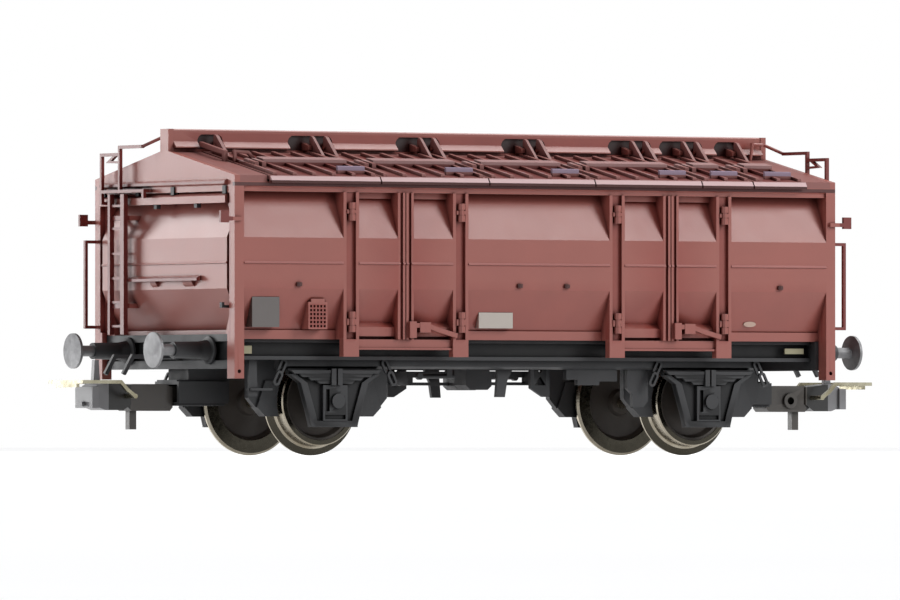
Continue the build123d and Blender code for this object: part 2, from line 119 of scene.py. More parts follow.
def bump(tree, shader, height, strength, distance):
    node = add_node(tree, "Bump")
    node.inputs["Strength"].default_value = strength
    node.inputs["Distance"].default_value = distance
    tree.links.new(height, node.inputs["Height"])
    tree.links.new(node.outputs["Normal"], shader.inputs["Normal"])


def calc(tree, operation, a, b=0.0):
    """Output of a maths node; inputs are outputs of others or numbers."""
    node = add_node(tree, "Math")
    node.operation = operation
    for socket, value in zip(node.inputs, (a, b)):
        feed(tree, socket, value)
    return node.outputs[0]


def axes(tree, vector):
    """Outputs X, Y and Z of a vector."""
    split = add_node(tree, "SeparateXYZ")
    tree.links.new(vector, split.inputs[0])
    return split.outputs


def zone(tree, ranges):
    """1 inside a box and 0 outside; the box is in millimetres from the middle, the same on both sides."""
    place = axes(tree, add_node(tree, "TexCoord").outputs["Object"])
    inside = None
    for axis, (low, high) in ranges.items():
        size = calc(tree, "ABSOLUTE", place[axis])
        both = calc(tree, "MULTIPLY", calc(tree, "GREATER_THAN", size, low * MM),
                    calc(tree, "LESS_THAN", size, high * MM))
        inside = both if inside is None else calc(tree, "MULTIPLY", inside, both)
    return inside


def gloss(tree, shader, source, rough):
    """Roughness between two values, spread by a noise."""
    spread = ramp(tree, source, [(0.3, grey(rough[0])), (0.7, grey(rough[1]))])
    tree.links.new(spread, shader.inputs["Roughness"])


# painted shade in hollows: how far the ambient occlusion reaches, and its samples
HOLLOW_REACH = 0.0016
HOLLOW_SAMPLES = 8
MOTTLE = 0.07
GRAIN_SCALE = 2600
GRAIN_DEPTH = 0.00003
MARKS_SCALE = 1500
MARKS_DEPTH = 0.00002


def moulded(name, base, worn_and_highlit, hollow_shade, rough=(0.31, 0.35), specular=0.5, zones=()):
    """Painted or dyed model plastic: faint mottling, paler edges (edge wear with a painted highlight), painted
    shade in hollows, tinted zones (some of them painted shade or highlight), fine grain.
    """
    mat, tree, shader = new_material(name)
    mottle = noise(tree, 180, 4)
    shade = ramp(tree, mottle, [(0.32, tuple(c * (1 - MOTTLE) for c in base)),
                                               (0.68, tuple(c * (1 + MOTTLE) for c in base))])
    geometry = add_node(tree, "NewGeometry")
    # paler edges: partly edge wear, partly a painted highlight along the edges
    edge = ramp(tree, geometry.outputs["Pointiness"], [(0.515, grey(0.0)), (0.56, grey(0.55))])
    # painted shade: faces in hollows, found by ambient occlusion, darken towards the hollow-shade colour
    hollow = add_node(tree, "AmbientOcclusion")
    hollow.samples = HOLLOW_SAMPLES
    hollow.inputs["Distance"].default_value = HOLLOW_REACH
    shade_mask = ramp(tree, hollow.outputs["AO"], [(0.3, grey(0.9)), (0.78, grey(0.0))])
    color = mix(tree, edge, shade, worn_and_highlit)
    for ranges, tint in zones:
        color = mix(tree, zone(tree, ranges), color, tint)
    color = mix(tree, shade_mask, color, hollow_shade)
    tree.links.new(color, shader.inputs["Base Color"])
    # painted shade: hollows, and faces that look upward, get less sheen so they render darker
    upward = axes(tree, geometry.outputs["Normal"])["Z"]
    level = ramp(tree, upward, [(0.85, grey(0.0)), (0.95, grey(0.9))])
    dull = calc(tree, "MAXIMUM", level, shade_mask)
    shine = calc(tree, "MULTIPLY", calc(tree, "SUBTRACT", 1.0, dull), specular)
    tree.links.new(shine, shader.inputs["Specular IOR Level"])
    gloss(tree, shader, noise(tree, 420, 3), rough)
    bump(tree, shader, noise(tree, GRAIN_SCALE, 2), 0.25, GRAIN_DEPTH)
    return mat


def metal(name, base, dark, rough=(0.18, 0.34), metallic=1.0, face=None):
    """Plated or turned metal with fine marks and a little tarnish; faces across Y may have their own colour."""
    mat, tree, shader = new_material(name)
    tarnish = noise(tree, 300, 4)
    shade = ramp(tree, tarnish, [(0.35, dark), (0.62, base)])
    if face:
        normal = add_node(tree, "NewGeometry").outputs["Normal"]
        across = calc(tree, "ABSOLUTE", axes(tree, normal)["Y"])
        side = ramp(tree, across, [(0.6, grey(0.0)), (0.9, grey(1.0))])
        shade = mix(tree, side, shade, face)
    tree.links.new(shade, shader.inputs["Base Color"])
    marks = noise(tree, MARKS_SCALE, 3, 0.6)
    gloss(tree, shader, marks, rough)
    shader.inputs["Metallic"].default_value = metallic
    bump(tree, shader, marks, 0.2, MARKS_DEPTH)
    return mat


# zones: axis, then from and to in millimetres from the middle, and their tint; some tints are painted shade or
# painted highlight
PAINTS = {
    "body_paint": dict(
        base=(0.34, 0.082, 0.064), worn_and_highlit=(0.45, 0.17, 0.14), hollow_shade=(0.05, 0.008, 0.007), zones=(
        # painted shade: near-black inside the ridge beam's arched recesses
        ({"X": (0, 41.2), "Y": (0, 0.62), "Z": (38.85, 40.85)}, (0.02, 0.004, 0.004)),
        ({"X": (45.75, 49)}, (0.2, 0.034, 0.028)),
        # painted highlight: the thin bead on the side walls made paler
        ({"Y": (17.42, 17.8), "Z": (24.15, 24.62)}, (0.45, 0.16, 0.14)),
        # painted shadow: dark band at the top of the eaves beams and corner posts, under the lids' overhang
        ({"Y": (16.9, 17.9), "Z": (33.95, 34.42)}, (0.08, 0.016, 0.014)),
        ({"Y": (17.42, 18.4), "Z": (21.2, 21.95)}, (0.07, 0.016, 0.013)))),
    "roof_paint": dict(
        base=(0.17, 0.04, 0.035), worn_and_highlit=(0.42, 0.2, 0.18), hollow_shade=(0.03, 0.005, 0.004), rough=(0.42, 0.55),
        specular=0.35, zones=(
        # painted highlight: pale strip along the lids' eave edges
        ({"Y": (17.9, 18.7), "Z": (34.68, 35.25)}, (0.75, 0.52, 0.52)),
        # painted shadow: dark band along the foot of the lids' eave edges
        ({"Y": (17.9, 18.7), "Z": (34.0, 34.68)}, (0.06, 0.014, 0.012)),
        # painted reflection: lilac sheen on the small upright plates on the lids
        ({"Y": (15.85, 16.35), "Z": (36.06, 37.5)}, (0.36, 0.27, 0.36)),
        # painted highlight: the raised planks on the lids made paler
        ({"Y": (9.25, 11.05), "Z": (37.15, 38.5)}, (0.42, 0.24, 0.23)))),
    "floor_paint": dict(
        base=(0.17, 0.075, 0.06), worn_and_highlit=(0.24, 0.12, 0.1), hollow_shade=(0.08, 0.04, 0.035), rough=(0.6, 0.8)),
    "frame_plastic": dict(
        base=(0.012, 0.0123, 0.0134), worn_and_highlit=(0.09, 0.092, 0.096), hollow_shade=(0.003, 0.003, 0.003),
        rough=(0.4, 0.55), specular=0.3),
    "plate_paint": dict(
        base=(0.12, 0.105, 0.1), worn_and_highlit=(0.2, 0.18, 0.17), hollow_shade=(0.08, 0.06, 0.05), zones=(
        ({"X": (3.0, 8.6)}, (0.62, 0.56, 0.5)),
        ({"X": (32.0, 34.2)}, (0.6, 0.42, 0.34)),
        ({"Z": (12.5, 14.2)}, (0.4, 0.38, 0.24)))),
    "wheel_disc": dict(
        base=(0.04, 0.032, 0.026), worn_and_highlit=(0.07, 0.06, 0.05), hollow_shade=(0.02, 0.016, 0.013), rough=(0.5, 0.68)),
    "coupler_plastic": dict(
        base=(0.04, 0.034, 0.029), worn_and_highlit=(0.1, 0.09, 0.08), hollow_shade=(0.006, 0.005, 0.004), zones=(
        ({"X": (54.5, 60.0)}, (0.26, 0.26, 0.27)),
        ({"X": (51.2, 54.5)}, (0.008, 0.008, 0.008)))),
}
METALS = {
    "buffer_face": dict(base=(0.24, 0.24, 0.245), dark=(0.15, 0.15, 0.155), rough=(0.42, 0.6), metallic=0.6),
    "nickel": dict(base=(0.6, 0.55, 0.45), dark=(0.38, 0.33, 0.25), face=(0.05, 0.046, 0.036)),
    "coupler_wire": dict(base=(0.34, 0.32, 0.24), dark=(0.2, 0.18, 0.12)),
}
MATERIALS = {slot: moulded(slot, **look) for slot, look in PAINTS.items()}
MATERIALS.update((slot, metal(slot, **look)) for slot, look in METALS.items())
for row in frame["record"]["subparts"]:
    materials = nodes[row["node"]].data.materials
    materials.clear()
    materials.append(MATERIALS[row["material_slot"]])


# shapes as closed meshes, in millimetres until a piece is finished

class Shape:
    """Closed shells; + sets shells together, - cuts, & keeps what is common."""

    def __init__(self, shells):
        self.shells = shells

    def __add__(self, other):
        return Shape(self.shells + other.shells)

    def __sub__(self, other):
        return self.cut(other, "DIFFERENCE")

    def __and__(self, other):
        return self.cut(other, "INTERSECT")

    def cut(self, other, operation):
        """Each shell combined with those that reach it."""
        result = []
        for mesh in self.shells:
            near = [cutter for cutter in other.shells if not apart(mesh, cutter)]
            result.append(combine(mesh, near, operation) if near else mesh)
        return Shape(result)


def shell(verts, faces):
    """Closed shell with its faces turned outward."""
    bm = bmesh.new()
    for v in verts:
        bm.verts.new(v)
    bm.verts.ensure_lookup_table()
    for face in faces:
        bm.faces.new([bm.verts[i] for i in face])
    bmesh.ops.remove_doubles(bm, verts=bm.verts, dist=1e-5)
    bmesh.ops.recalc_face_normals(bm, faces=bm.faces)
    mesh = bpy.data.meshes.new("shell")
    bm.to_mesh(mesh)
    bm.free()
    return mesh


def extent(mesh):
    """Lowest and highest corner of a mesh."""
    points = [v.co for v in mesh.vertices]
    return [min(p[i] for p in points) for i in range(3)], [max(p[i] for p in points) for i in range(3)]


def apart(a, b):
    """True if the boxes of two meshes do not meet."""
    low_a, high_a = extent(a)
    low_b, high_b = extent(b)
    return any(low_a[i] > high_b[i] or low_b[i] > high_a[i] for i in range(3))


def placed(name, data):
    """New object in the scene."""
    obj = bpy.data.objects.new(name, data)
    scene.collection.objects.link(obj)
    return obj


def combine(first, others, operation):
    """One mesh from a mesh and several others."""
    group = bpy.data.collections.new("operands")
    scene.collection.children.link(group)
    base = placed("base", first)
    for mesh in others:
        group.objects.link(bpy.data.objects.new("operand", mesh))
    modifier = base.modifiers.new("combine", "BOOLEAN")
    modifier.operation = operation
    modifier.solver = "EXACT"
    modifier.operand_type = "COLLECTION"
    modifier.collection = group
    graph = bpy.context.evaluated_depsgraph_get()
    result = bpy.data.meshes.new_from_object(base.evaluated_get(graph), depsgraph=graph)
    for obj in [base] + list(group.objects):
        bpy.data.objects.remove(obj)
    bpy.data.collections.remove(group)
    return result


def changed(shape, matrix):
    """The shape moved, turned or mirrored by a matrix."""
    shells = []
    for mesh in shape.shells:
        copy = mesh.copy()
        copy.transform(matrix)
        if matrix.determinant() < 0:
            copy.flip_normals()
        shells.append(copy)
    return Shape(shells)


def turned(shape):
    """The same piece turned half round the wagon's upright axis."""
    return changed(shape, Matrix.Rotation(pi, 4, "Z"))


def to_near(shape):
    """Mirror from the far side to the near side."""
    return changed(shape, Matrix.Scale(-1, 4, (0, 1, 0)))


def prism(outline, end):
    """Closed outline of 3-D points pushed along a vector."""
    count = len(outline)
    verts = list(outline) + [tuple(a + b for a, b in zip(p, end)) for p in outline]
    faces = [list(range(count)), list(range(count, 2 * count))]
    faces += [[i, (i + 1) % count, count + (i + 1) % count, count + i] for i in range(count)]
    return Shape([shell(verts, faces)])


def slice_x(points, x0, x1, side=1):
    """Outline of (y, z) points between two planes across X, y measured outward on the given side."""
    x0, x1 = sorted((x0, x1))
    return prism([(x0, side * y, z) for y, z in points], (x1 - x0, 0, 0))


def slice_y(points, y0, y1, end=1):
    """Outline of (x, z) points between two planes across Y, x measured outward on the given end."""
    y0, y1 = sorted((y0, y1))
    return prism([(end * x, y0, z) for x, z in points], (0, y1 - y0, 0))


def block(x0, x1, y0, y1, z0, z1, side=1, end=1):
    """Box between planes, in any order; y is measured outward on the side and x on the end."""
    x0, x1, y0, y1 = end * x0, end * x1, side * y0, side * y1
    return prism([(x0, y0, z0), (x0, y1, z0), (x0, y1, z1), (x0, y0, z1)], (x1 - x0, 0, 0))


def joined(shapes):
    """All shells of several shapes."""
    return Shape([mesh for shape in shapes for mesh in shape.shells])


def both_ends(*shapes):
    """The shapes, and again turned for the other end."""
    return [*shapes, *map(turned, shapes)]


def mirrored(line):
    """Half an outline and its mirror image across the first axis."""
    return line + [(-a, z) for a, z in line[::-1]]


def ring_of(centre, u, v, radius, count):
    """Points of a circle in the plane of two unit vectors."""
    turns = [2 * pi * (i + 0.5) / count for i in range(count)]
    return [tuple(centre + u * (radius * cos(t)) + v * (radius * sin(t))) for t in turns]


def rod(start, end, radius, count=None):
    """Round rod between two points."""
    axis = Vector(end) - Vector(start)
    u = axis.orthogonal().normalized()
    v = axis.normalized().cross(u)
    count = count or (16 if radius < 0.5 else 32)
    return prism(ring_of(Vector(start), u, v, radius, count), tuple(axis))


def octagon_rod(x, y, z0, z1, radius):
    """Upright eight-sided barrel."""
    return prism(ring_of(Vector((x, y, z0)), Vector((1, 0, 0)), Vector((0, 1, 0)), radius, 8), (0, 0, z1 - z0))


def lathe(profile, place, count):
    """(radius, along) outline turned about an axis; place(radius, along, angle) gives the point."""
    n = len(profile)
    verts = [place(r, a, 2 * pi * i / count) for i in range(count) for r, a in profile]
    faces = []
    for i in range(count):
        j = (i + 1) % count
        for k in range(n):
            m = (k + 1) % n
            if profile[k][0] == 0 and profile[m][0] == 0:
                continue
            quad = [i * n + k, j * n + k, j * n + m, i * n + m]
            if profile[k][0] == 0:
                quad = [i * n + k, j * n + m, i * n + m]
            if profile[m][0] == 0:
                quad = [i * n + k, j * n + k, i * n + m]
            faces.append(quad)
    return Shape([shell(verts, faces)])


def spun(profile, x, side=1):
    """(radius, y) points turned about an axle line at x, y measured outward."""
    def place(r, y, t):
        return (x + r * sin(t), side * y, AXLE_Z + r * cos(t))
    return lathe(profile, place, 96)


def along_x(profile, end, y, z):
    """(x, radius) points turned about a line along X at the given y and z."""
    def place(r, x, t):
        return (end * x, y + r * sin(t), z + r * cos(t))
    return lathe([(r, x) for x, r in profile], place, 48)


def ring_link(length, width, bar, thick, lean):
    """Flat oval chain link standing in the XZ plane, leaning from upright by an angle."""
    radius = (width - bar) / 2
    straight = length / 2 - width / 2
    verts = []
    count = 24
    for i in range(count):
        t = 2 * pi * (i + 0.5) / count
        lift = straight if sin(t) > 0 else -straight
        for out, y in ((-bar / 2, -thick / 2), (bar / 2, -thick / 2), (bar / 2, thick / 2), (-bar / 2, thick / 2)):
            verts.append(((radius + out) * cos(t), y, (radius + out) * sin(t) + lift))
    faces = [[i * 4 + k, (i + 1) % count * 4 + k, (i + 1) % count * 4 + (k + 1) % 4, i * 4 + (k + 1) % 4]
             for i in range(count) for k in range(4)]
    return changed(Shape([shell(verts, faces)]), Matrix.Rotation(-lean, 4, "Y"))


BODY_OF = {node: body for body, group in frame["record"]["behaviour"]["bodies"].items() for node in group}
SLOT_OF = {row["node"]: row["material_slot"] for row in frame["record"]["subparts"]}


def finished(shape, name, body, slot):
    """Object in metres, riding on a body, with the material of its slot."""
    mesh, *others = shape.shells
    mesh = combine(mesh, others, "UNION") if others else mesh
    mesh.transform(Matrix.Scale(MM, 4))
    mesh.name = name
    mesh.materials.clear()
    mesh.materials.append(MATERIALS[slot])
    mesh.polygons.foreach_set("material_index", [0] * len(mesh.polygons))
    obj = placed(name, mesh)
    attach(obj, body)
    return obj


def piece(node, shapes):
    """The form of a CAD node, which it stands for."""
    obj = finished(joined(shapes), node + "_form", BODY_OF[node], SLOT_OF[node])
    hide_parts(node)
    return obj


# running gear
TREAD_R = 5.75
FLANGE_DEPTH = 1.1
AXLE_Z = TREAD_R + FLANGE_DEPTH
AXLE_X = 28.2
AXLE_R = 0.75
BACK_Y = 7.15
FACE_Y = 9.95
RIM_R = 4.95
HUB_R = 1.5
JOURNAL_R = 0.6
JOURNAL_END = 12.9

# body box
OUT_Y = 17.4
END_X = 45.3
CORNER_T = 1.4
CORNER_W = 1.8
WALL_T = 1.2
DOOR_POST_X = (11.8, 28.1)
DOOR_POST_W = 2.3
POST_LIP = 0.45
POST_GROOVE = 0.45
POST_FOOT_T = 1.0
STRIP_X = 20.0
STRIP_W = 1.1
LEAF_GAP = 0.15
Z_CORNER_FOOT = 9.7
Z_DOOR_POST_FOOT = 12.5
PANEL_FOOT = 14.7
Z_FOOT_RAIL = 15.85
FOOT_RAIL_IN = 1.95
Z_KINK_LOW = 21.05
Z_BEAD = 24.4
Z_KINK_HIGH = 27.5
PANEL_TOP = 33.3
RECESS_TOP = 2.4
RECESS_FOOT = 2.65
BEAD_H = 0.5
BEAD_OUT = 0.2

# roof
Z_EAVES_TOP = 34.5
Z_GABLE_FOOT = 35.3
Z_SHOULDER = 38.6
SHOULDER_Y = 0.9
RIDGE_Y = 0.9
Z_RIDGE = 41.45
Z_FLARE_TOP = 39.9
Z_FLARE_FOOT = 39.2
FLARE_Y = 1.6
ROOF_END_X = 40.5
ROOF_SLOPE = (Z_SHOULDER - Z_GABLE_FOOT) / (OUT_Y - SHOULDER_Y)

# underframe
FLOOR_Z = 14.7
FLOOR_T = 0.8
SOLE_Y = 14.4
SOLE_FOOT = 12.1
BEAM_FOOT = 11.0
STOCK_X = 44.6
STOCK_BACK = 43.4
STOCK_FOOT = 10.95
STOCK_TOP = 15.3
BUFFER_Y = 10.05
BUFFER_Z = 13.3
BUFFER_X = 52.96

NEAR, FAR = -1, 1
SIDES = (NEAR, FAR)
ENDS = (-1, 1)
NAMED_ENDS = ((-1, "left"), (1, "right"))
SIDE_ENDS = [(side, end) for side in SIDES for end in ENDS]
CORNERS = [(end, side) for end in ENDS for side in SIDES]


def band(path, width):
    """Outline of a bent strip of even width."""
    turns = [atan2(b[1] - a[1], b[0] - a[0]) for a, b in zip(path, path[1:])]
    left = []
    right = []
    for (a, b), a0, a1 in zip(path, turns[:1] + turns, turns + turns[-1:]):
        half_turn = (a1 - a0) / 2
        middle = a0 + half_turn + pi / 2
        reach = width / 2 / cos(half_turn)
        left.append((a + reach * cos(middle), b + reach * sin(middle)))
        right.append((a - reach * cos(middle), b - reach * sin(middle)))
    return left + right[::-1]


# depth behind the posts, height: the bulged wall's outer line from foot to top
FOOT_LINE = RECESS_FOOT * (Z_KINK_LOW - Z_FOOT_RAIL) / (Z_KINK_LOW - PANEL_FOOT)
BULGE = [(FOOT_RAIL_IN, PANEL_FOOT), (FOOT_RAIL_IN, Z_FOOT_RAIL), (FOOT_LINE, Z_FOOT_RAIL),
         (0, Z_KINK_LOW), (0, Z_KINK_HIGH), (RECESS_TOP, PANEL_TOP)]
BULGE_BACK = [(RECESS_TOP + WALL_T, PANEL_TOP), (WALL_T, Z_KINK_HIGH), (WALL_T, Z_KINK_LOW),
              (RECESS_FOOT + WALL_T, PANEL_FOOT)]
BEAD = [(0.1, Z_BEAD - BEAD_H / 2), (-BEAD_OUT, Z_BEAD - BEAD_H / 3), (0.1, Z_BEAD + BEAD_H / 2)]


def out_from(line, reference):
    """Turn depths behind the reference plane into distances from the middle."""
    return [(reference - depth, z) for depth, z in line]


OUTER = out_from(BULGE, OUT_Y)
INNER = out_from(BULGE_BACK, OUT_Y)


def bulged(x0, x1, side):
    """A wall panel as thick as the wall, with its foot rail and its thin bead."""
    return slice_x(OUTER + INNER, x0, x1, side) + slice_x(out_from(BEAD, OUT_Y), x0, x1, side)


# plain side panels between the posts
END_PANEL = (DOOR_POST_X[1] + DOOR_POST_W / 2, END_X - CORNER_T)
MID_PANEL = DOOR_POST_X[0] - DOOR_POST_W / 2
PANELS = ((-MID_PANEL, MID_PANEL), (-END_PANEL[1], -END_PANEL[0]), END_PANEL)
piece("side_panels", [bulged(x0, x1, side) for side in SIDES for x0, x1 in PANELS])

# door leaves: meeting strip with a groove, top rail, slanted foot rail
POST_LINE = [(OUT_Y, PANEL_FOOT), (OUT_Y, PANEL_TOP)]
TOP_RAIL = [(1.6, PANEL_TOP), (1.6, PANEL_TOP - 0.75), (3.2, PANEL_TOP - 0.75), (3.2, PANEL_TOP)]
FOOT_RAIL = [(0.8, 15.1), (0.8, 16.25), (1.75, 16.9), (2.6, 16.5), (2.6, 15.1)]
GROOVE_EDGES = (0.35, 0.75)
GROOVE_DEPTH = 0.3
ABOVE_ALL = 50
# edges of a doorway; each leaf's edge at the post and at the middle, and the way inward
DOORWAY = (DOOR_POST_X[0] + DOOR_POST_W / 2, DOOR_POST_X[1] - DOOR_POST_W / 2)
LEAF_EDGES = ((DOORWAY[0], STRIP_X - LEAF_GAP / 2, -1), (DOORWAY[1], STRIP_X + LEAF_GAP / 2, 1))
leaves = []
for side, door in SIDE_ENDS:
    for at_post, at_middle, inward in LEAF_EDGES:
        x0, x1 = door * at_post, door * at_middle
        leaf = bulged(x0, x1, side)
        leaf += slice_x(POST_LINE + INNER, x1, door * (at_middle + inward * STRIP_W), side)
        groove = [door * (at_middle + inward * edge) for edge in GROOVE_EDGES]
        leaf -= block(*groove, side * (OUT_Y - GROOVE_DEPTH), side * (OUT_Y + 1), 0, ABOVE_ALL)
        leaf += slice_x(out_from(TOP_RAIL, OUT_Y), x0, x1, side)
        leaf += slice_x(out_from(FOOT_RAIL, OUT_Y), x0, x1, side)
        leaves.append(leaf)
piece("door_leaves", leaves)

# door posts: channels open outward, following the wall inside; sill beams between them
SILL_LINE = [(2.6, PANEL_FOOT), (0.45, PANEL_FOOT), (0.45, 13.65), (0.25, 13.65),
             (0.25, 13.4), (2.6, 13.4)]
posts = []
sills = []
for side, door in SIDE_ENDS:
    for x in DOOR_POST_X:
        x0, x1 = door * x - DOOR_POST_W / 2, door * x + DOOR_POST_W / 2
        post = slice_x(POST_LINE + INNER, x0, x1, side)
        post += block(x0, x1, OUT_Y - POST_FOOT_T, OUT_Y, Z_DOOR_POST_FOOT, PANEL_FOOT + 0.2, side)
        post -= block(x0 + POST_LIP, x1 - POST_LIP, OUT_Y - POST_GROOVE, OUT_Y + 1, PANEL_FOOT,
                      PANEL_TOP + 1, side)
        posts.append(post)
    sills.append(slice_x(out_from(SILL_LINE, OUT_Y), door * DOORWAY[0], door * DOORWAY[1], side))
piece("door_posts", posts)
piece("door_sills", sills)

# corner posts, each with a thin web that closes the corner behind it
CORNER_WEB = 0.6
WEB_OUT = OUT_Y - 1.0
LASHING_HOLE_R = 0.25
LASHING_HOLE_Z = Z_CORNER_FOOT + 0.9
corner = []
for side, end in SIDE_ENDS:
    inner_x = END_X - CORNER_T
    post = block(inner_x, END_X, OUT_Y - CORNER_W, OUT_Y, Z_CORNER_FOOT, Z_EAVES_TOP, side, end)
    web = slice_x([(WEB_OUT, PANEL_FOOT), (WEB_OUT, PANEL_TOP)] + INNER,
                  end * inner_x, end * (inner_x + CORNER_WEB), side)
    hole_x = end * (END_X - CORNER_T / 2)
    hole = rod((hole_x, side * (OUT_Y - 3), LASHING_HOLE_Z), (hole_x, side * (OUT_Y + 1), LASHING_HOLE_Z),
               LASHING_HOLE_R)
    corner.append(post - hole + web)
# a narrow slot between each corner post and the end wall
SLOT_Y = (15.5, 16.1)
SLOT_Z = (15.7, 33.1)
SLOT_DEPTH = 0.7
slots = joined(block(END_X - SLOT_DEPTH, END_X + 0.2, side * SLOT_Y[0], side * SLOT_Y[1], *SLOT_Z, end=end)
               for end, side in CORNERS)
piece("corner_posts", [post - slots for post in corner])

# end walls: the same bulge, seen along Y
END_HALF = OUT_Y - CORNER_W
ends = []
for end in ENDS:
    wall = slice_y(out_from(BULGE + BULGE_BACK, END_X), -END_HALF, END_HALF, end)
    wall += slice_y(out_from(BEAD, END_X), -END_HALF, END_HALF, end)
    ends.append(wall & slice_x(mirrored(INNER), end * (END_X - 8), end * (END_X + 1)))
piece("end_walls", [wall - slots for wall in ends])

# gables with the ridge plate above and a ledge below
GABLE_T = 0.8
LEDGE_OUT = 0.45
GABLE_HALF = [(END_HALF, PANEL_TOP), (END_HALF, Z_EAVES_TOP), (OUT_Y, Z_EAVES_TOP),
              (OUT_Y, Z_GABLE_FOOT), (SHOULDER_Y + 0.1, Z_SHOULDER), (SHOULDER_Y + 0.1, Z_RIDGE)]
LEDGE = [(END_X - 0.1, 34.0), (END_X + LEDGE_OUT, 34.25), (END_X + LEDGE_OUT, 34.6), (END_X - 0.1, 34.9)]
piece("gables", [slice_x(mirrored(GABLE_HALF), end * (END_X - GABLE_T), end * END_X)
                 + slice_y(LEDGE, -END_HALF, END_HALF, end) for end in ENDS])


def roof_z(y):
    """Height of the fixed roof line at distance y from the middle."""
    return Z_SHOULDER - ROOF_SLOPE * (y - SHOULDER_Y)


# ridge beam with arched recesses for the hinges: x0, x1 on the near side
ridge_half = [(RIDGE_Y - 0.15, Z_RIDGE), (RIDGE_Y, Z_RIDGE - 0.15), (RIDGE_Y, Z_FLARE_TOP),
              (FLARE_Y, Z_FLARE_FOOT), (FLARE_Y, Z_FLARE_FOOT - 0.15), (RIDGE_Y, Z_FLARE_FOOT - 0.15),
              (RIDGE_Y, Z_SHOULDER - 0.8)]
RECESS_FLOOR = 0.4
ARCH_TOP = 40.8
ARCH_FOOT = 38.9
RECESSES = [(-40.95, -37.2), (-27.55, -20.9), (-11.4, -4.75), (4.6, 11.25), (20.9, 27.55),
            (28.8, 35.45), (37.3, 40.95)]
# corner of an arch: distance from its side, depth below its top
ARCH_CORNER = ((0, 0.7), (0.2, 0.3), (0.6, 0))
ridge_solid = slice_x(mirrored(ridge_half), -(END_X - GABLE_T), END_X - GABLE_T)
for x0, x1 in RECESSES:
    arch = [(x0, ARCH_FOOT)] + [(x0 + dx, ARCH_TOP - dz) for dx, dz in ARCH_CORNER]
    arch += [(x1 - dx, ARCH_TOP - dz) for dx, dz in ARCH_CORNER[::-1]] + [(x1, ARCH_FOOT)]
    recess = slice_y(arch, -3, -RECESS_FLOOR)
    ridge_solid = ridge_solid - recess - turned(recess)
piece("ridge_beam", [ridge_solid])

# eaves beams on the posts
EAVES_LINE = [(3.4, PANEL_TOP), (0.3, PANEL_TOP), (0.3, PANEL_TOP + 0.5), (0, PANEL_TOP + 0.7),
              (0, Z_EAVES_TOP), (3.4, Z_EAVES_TOP)]
piece("eaves_beams", [slice_x(out_from(EAVES_LINE, OUT_Y), -(END_X - CORNER_T), END_X - CORNER_T, side)
                      for side in SIDES])

# fixed roof panels next to the gables; one of each pair carries a raised stop bar
STOP_X = (40.6, 41.1)
stop_bar = [(1.65, 39.86), (7.85, 38.6), (7.85, roof_z(7.85) - 0.3), (7.2, roof_z(7.2) - 0.3),
            (7.2, 38.15), (1.65, 39.25)]
roof_ends = []
for side, end in SIDE_ENDS:
    panel = slice_x([(SHOULDER_Y, Z_SHOULDER), (OUT_Y, roof_z(OUT_Y)), (OUT_Y, Z_EAVES_TOP),
                     (SHOULDER_Y, Z_EAVES_TOP + 3.2)], end * ROOF_END_X, end * (END_X - GABLE_T), side)
    if side == end:
        panel += slice_x(stop_bar, end * STOP_X[0], end * STOP_X[1], side)
    roof_ends.append(panel)
piece("roof_end_panels", roof_ends)

# lids, near side from left to right: x0, x1
LIDS = [(-40.35, -24.25), (-24.05, -8.1), (-7.9, 7.9), (8.1, 24.2), (24.4, 32.1), (32.3, 40.35)]
LID_T = 0.55
LID_RAISE = 0.1
LID_IN = 1.2
LID_OUT = 18.0
EAVE_OUT = 18.3
EAVE_TOP = 35.19
EAVE_FOOT = 34.35
PIVOT_Y = 1.9
PIVOT_Z = 39.3
PIN_R = 0.25
RIB_MARGIN = 0.8
RIB_PITCH = 2.7
RIB_W = 0.55
RIB_H = 0.38
PLANK_IN = 9.3
PLANK_OUT = 11.0
PLANK_H = 0.85
# from the lid's left edge and from its right edge
PLANK_ENDS = (3.1, 0.65)
PLATE_Y = (15.9, 16.3)
PLATE_X = (5.2, 1.2)
PLATE_H = 0.95
# short cleats left of the plank
CLEAT_X = (1.3, 2.4)
CLEAT_W = 0.6
# x0, x1 of the arm from the lid's left edge or, negative, from its right edge
ARMS = ((1.4, 1.85), (-0.4, -0.03))
# x0, x1 of the lug that carries the pin, next to each arm, and the pin's far end
LUGS = ((2.1, 2.65, 1.2), (-1.05, -0.5, 0.04))


def from_edge(x0, x1, offset):
    """Place along a lid, measured from its left edge or, when negative, from its right edge."""
    return x0 + offset if offset > 0 else x1 + offset


def top(y):
    """Height of a lid's sheet at distance y from the middle."""
    return roof_z(y) + LID_RAISE


def raised(y0, y1, height, x0, x1):
    """Strip of even height on a lid, from y0 to y1."""
    line = [(y0, top(y0) - 0.1), (y1, top(y1) - 0.1), (y1, top(y1) + height), (y0, top(y0) + height)]
    return slice_x(line, x0, x1)


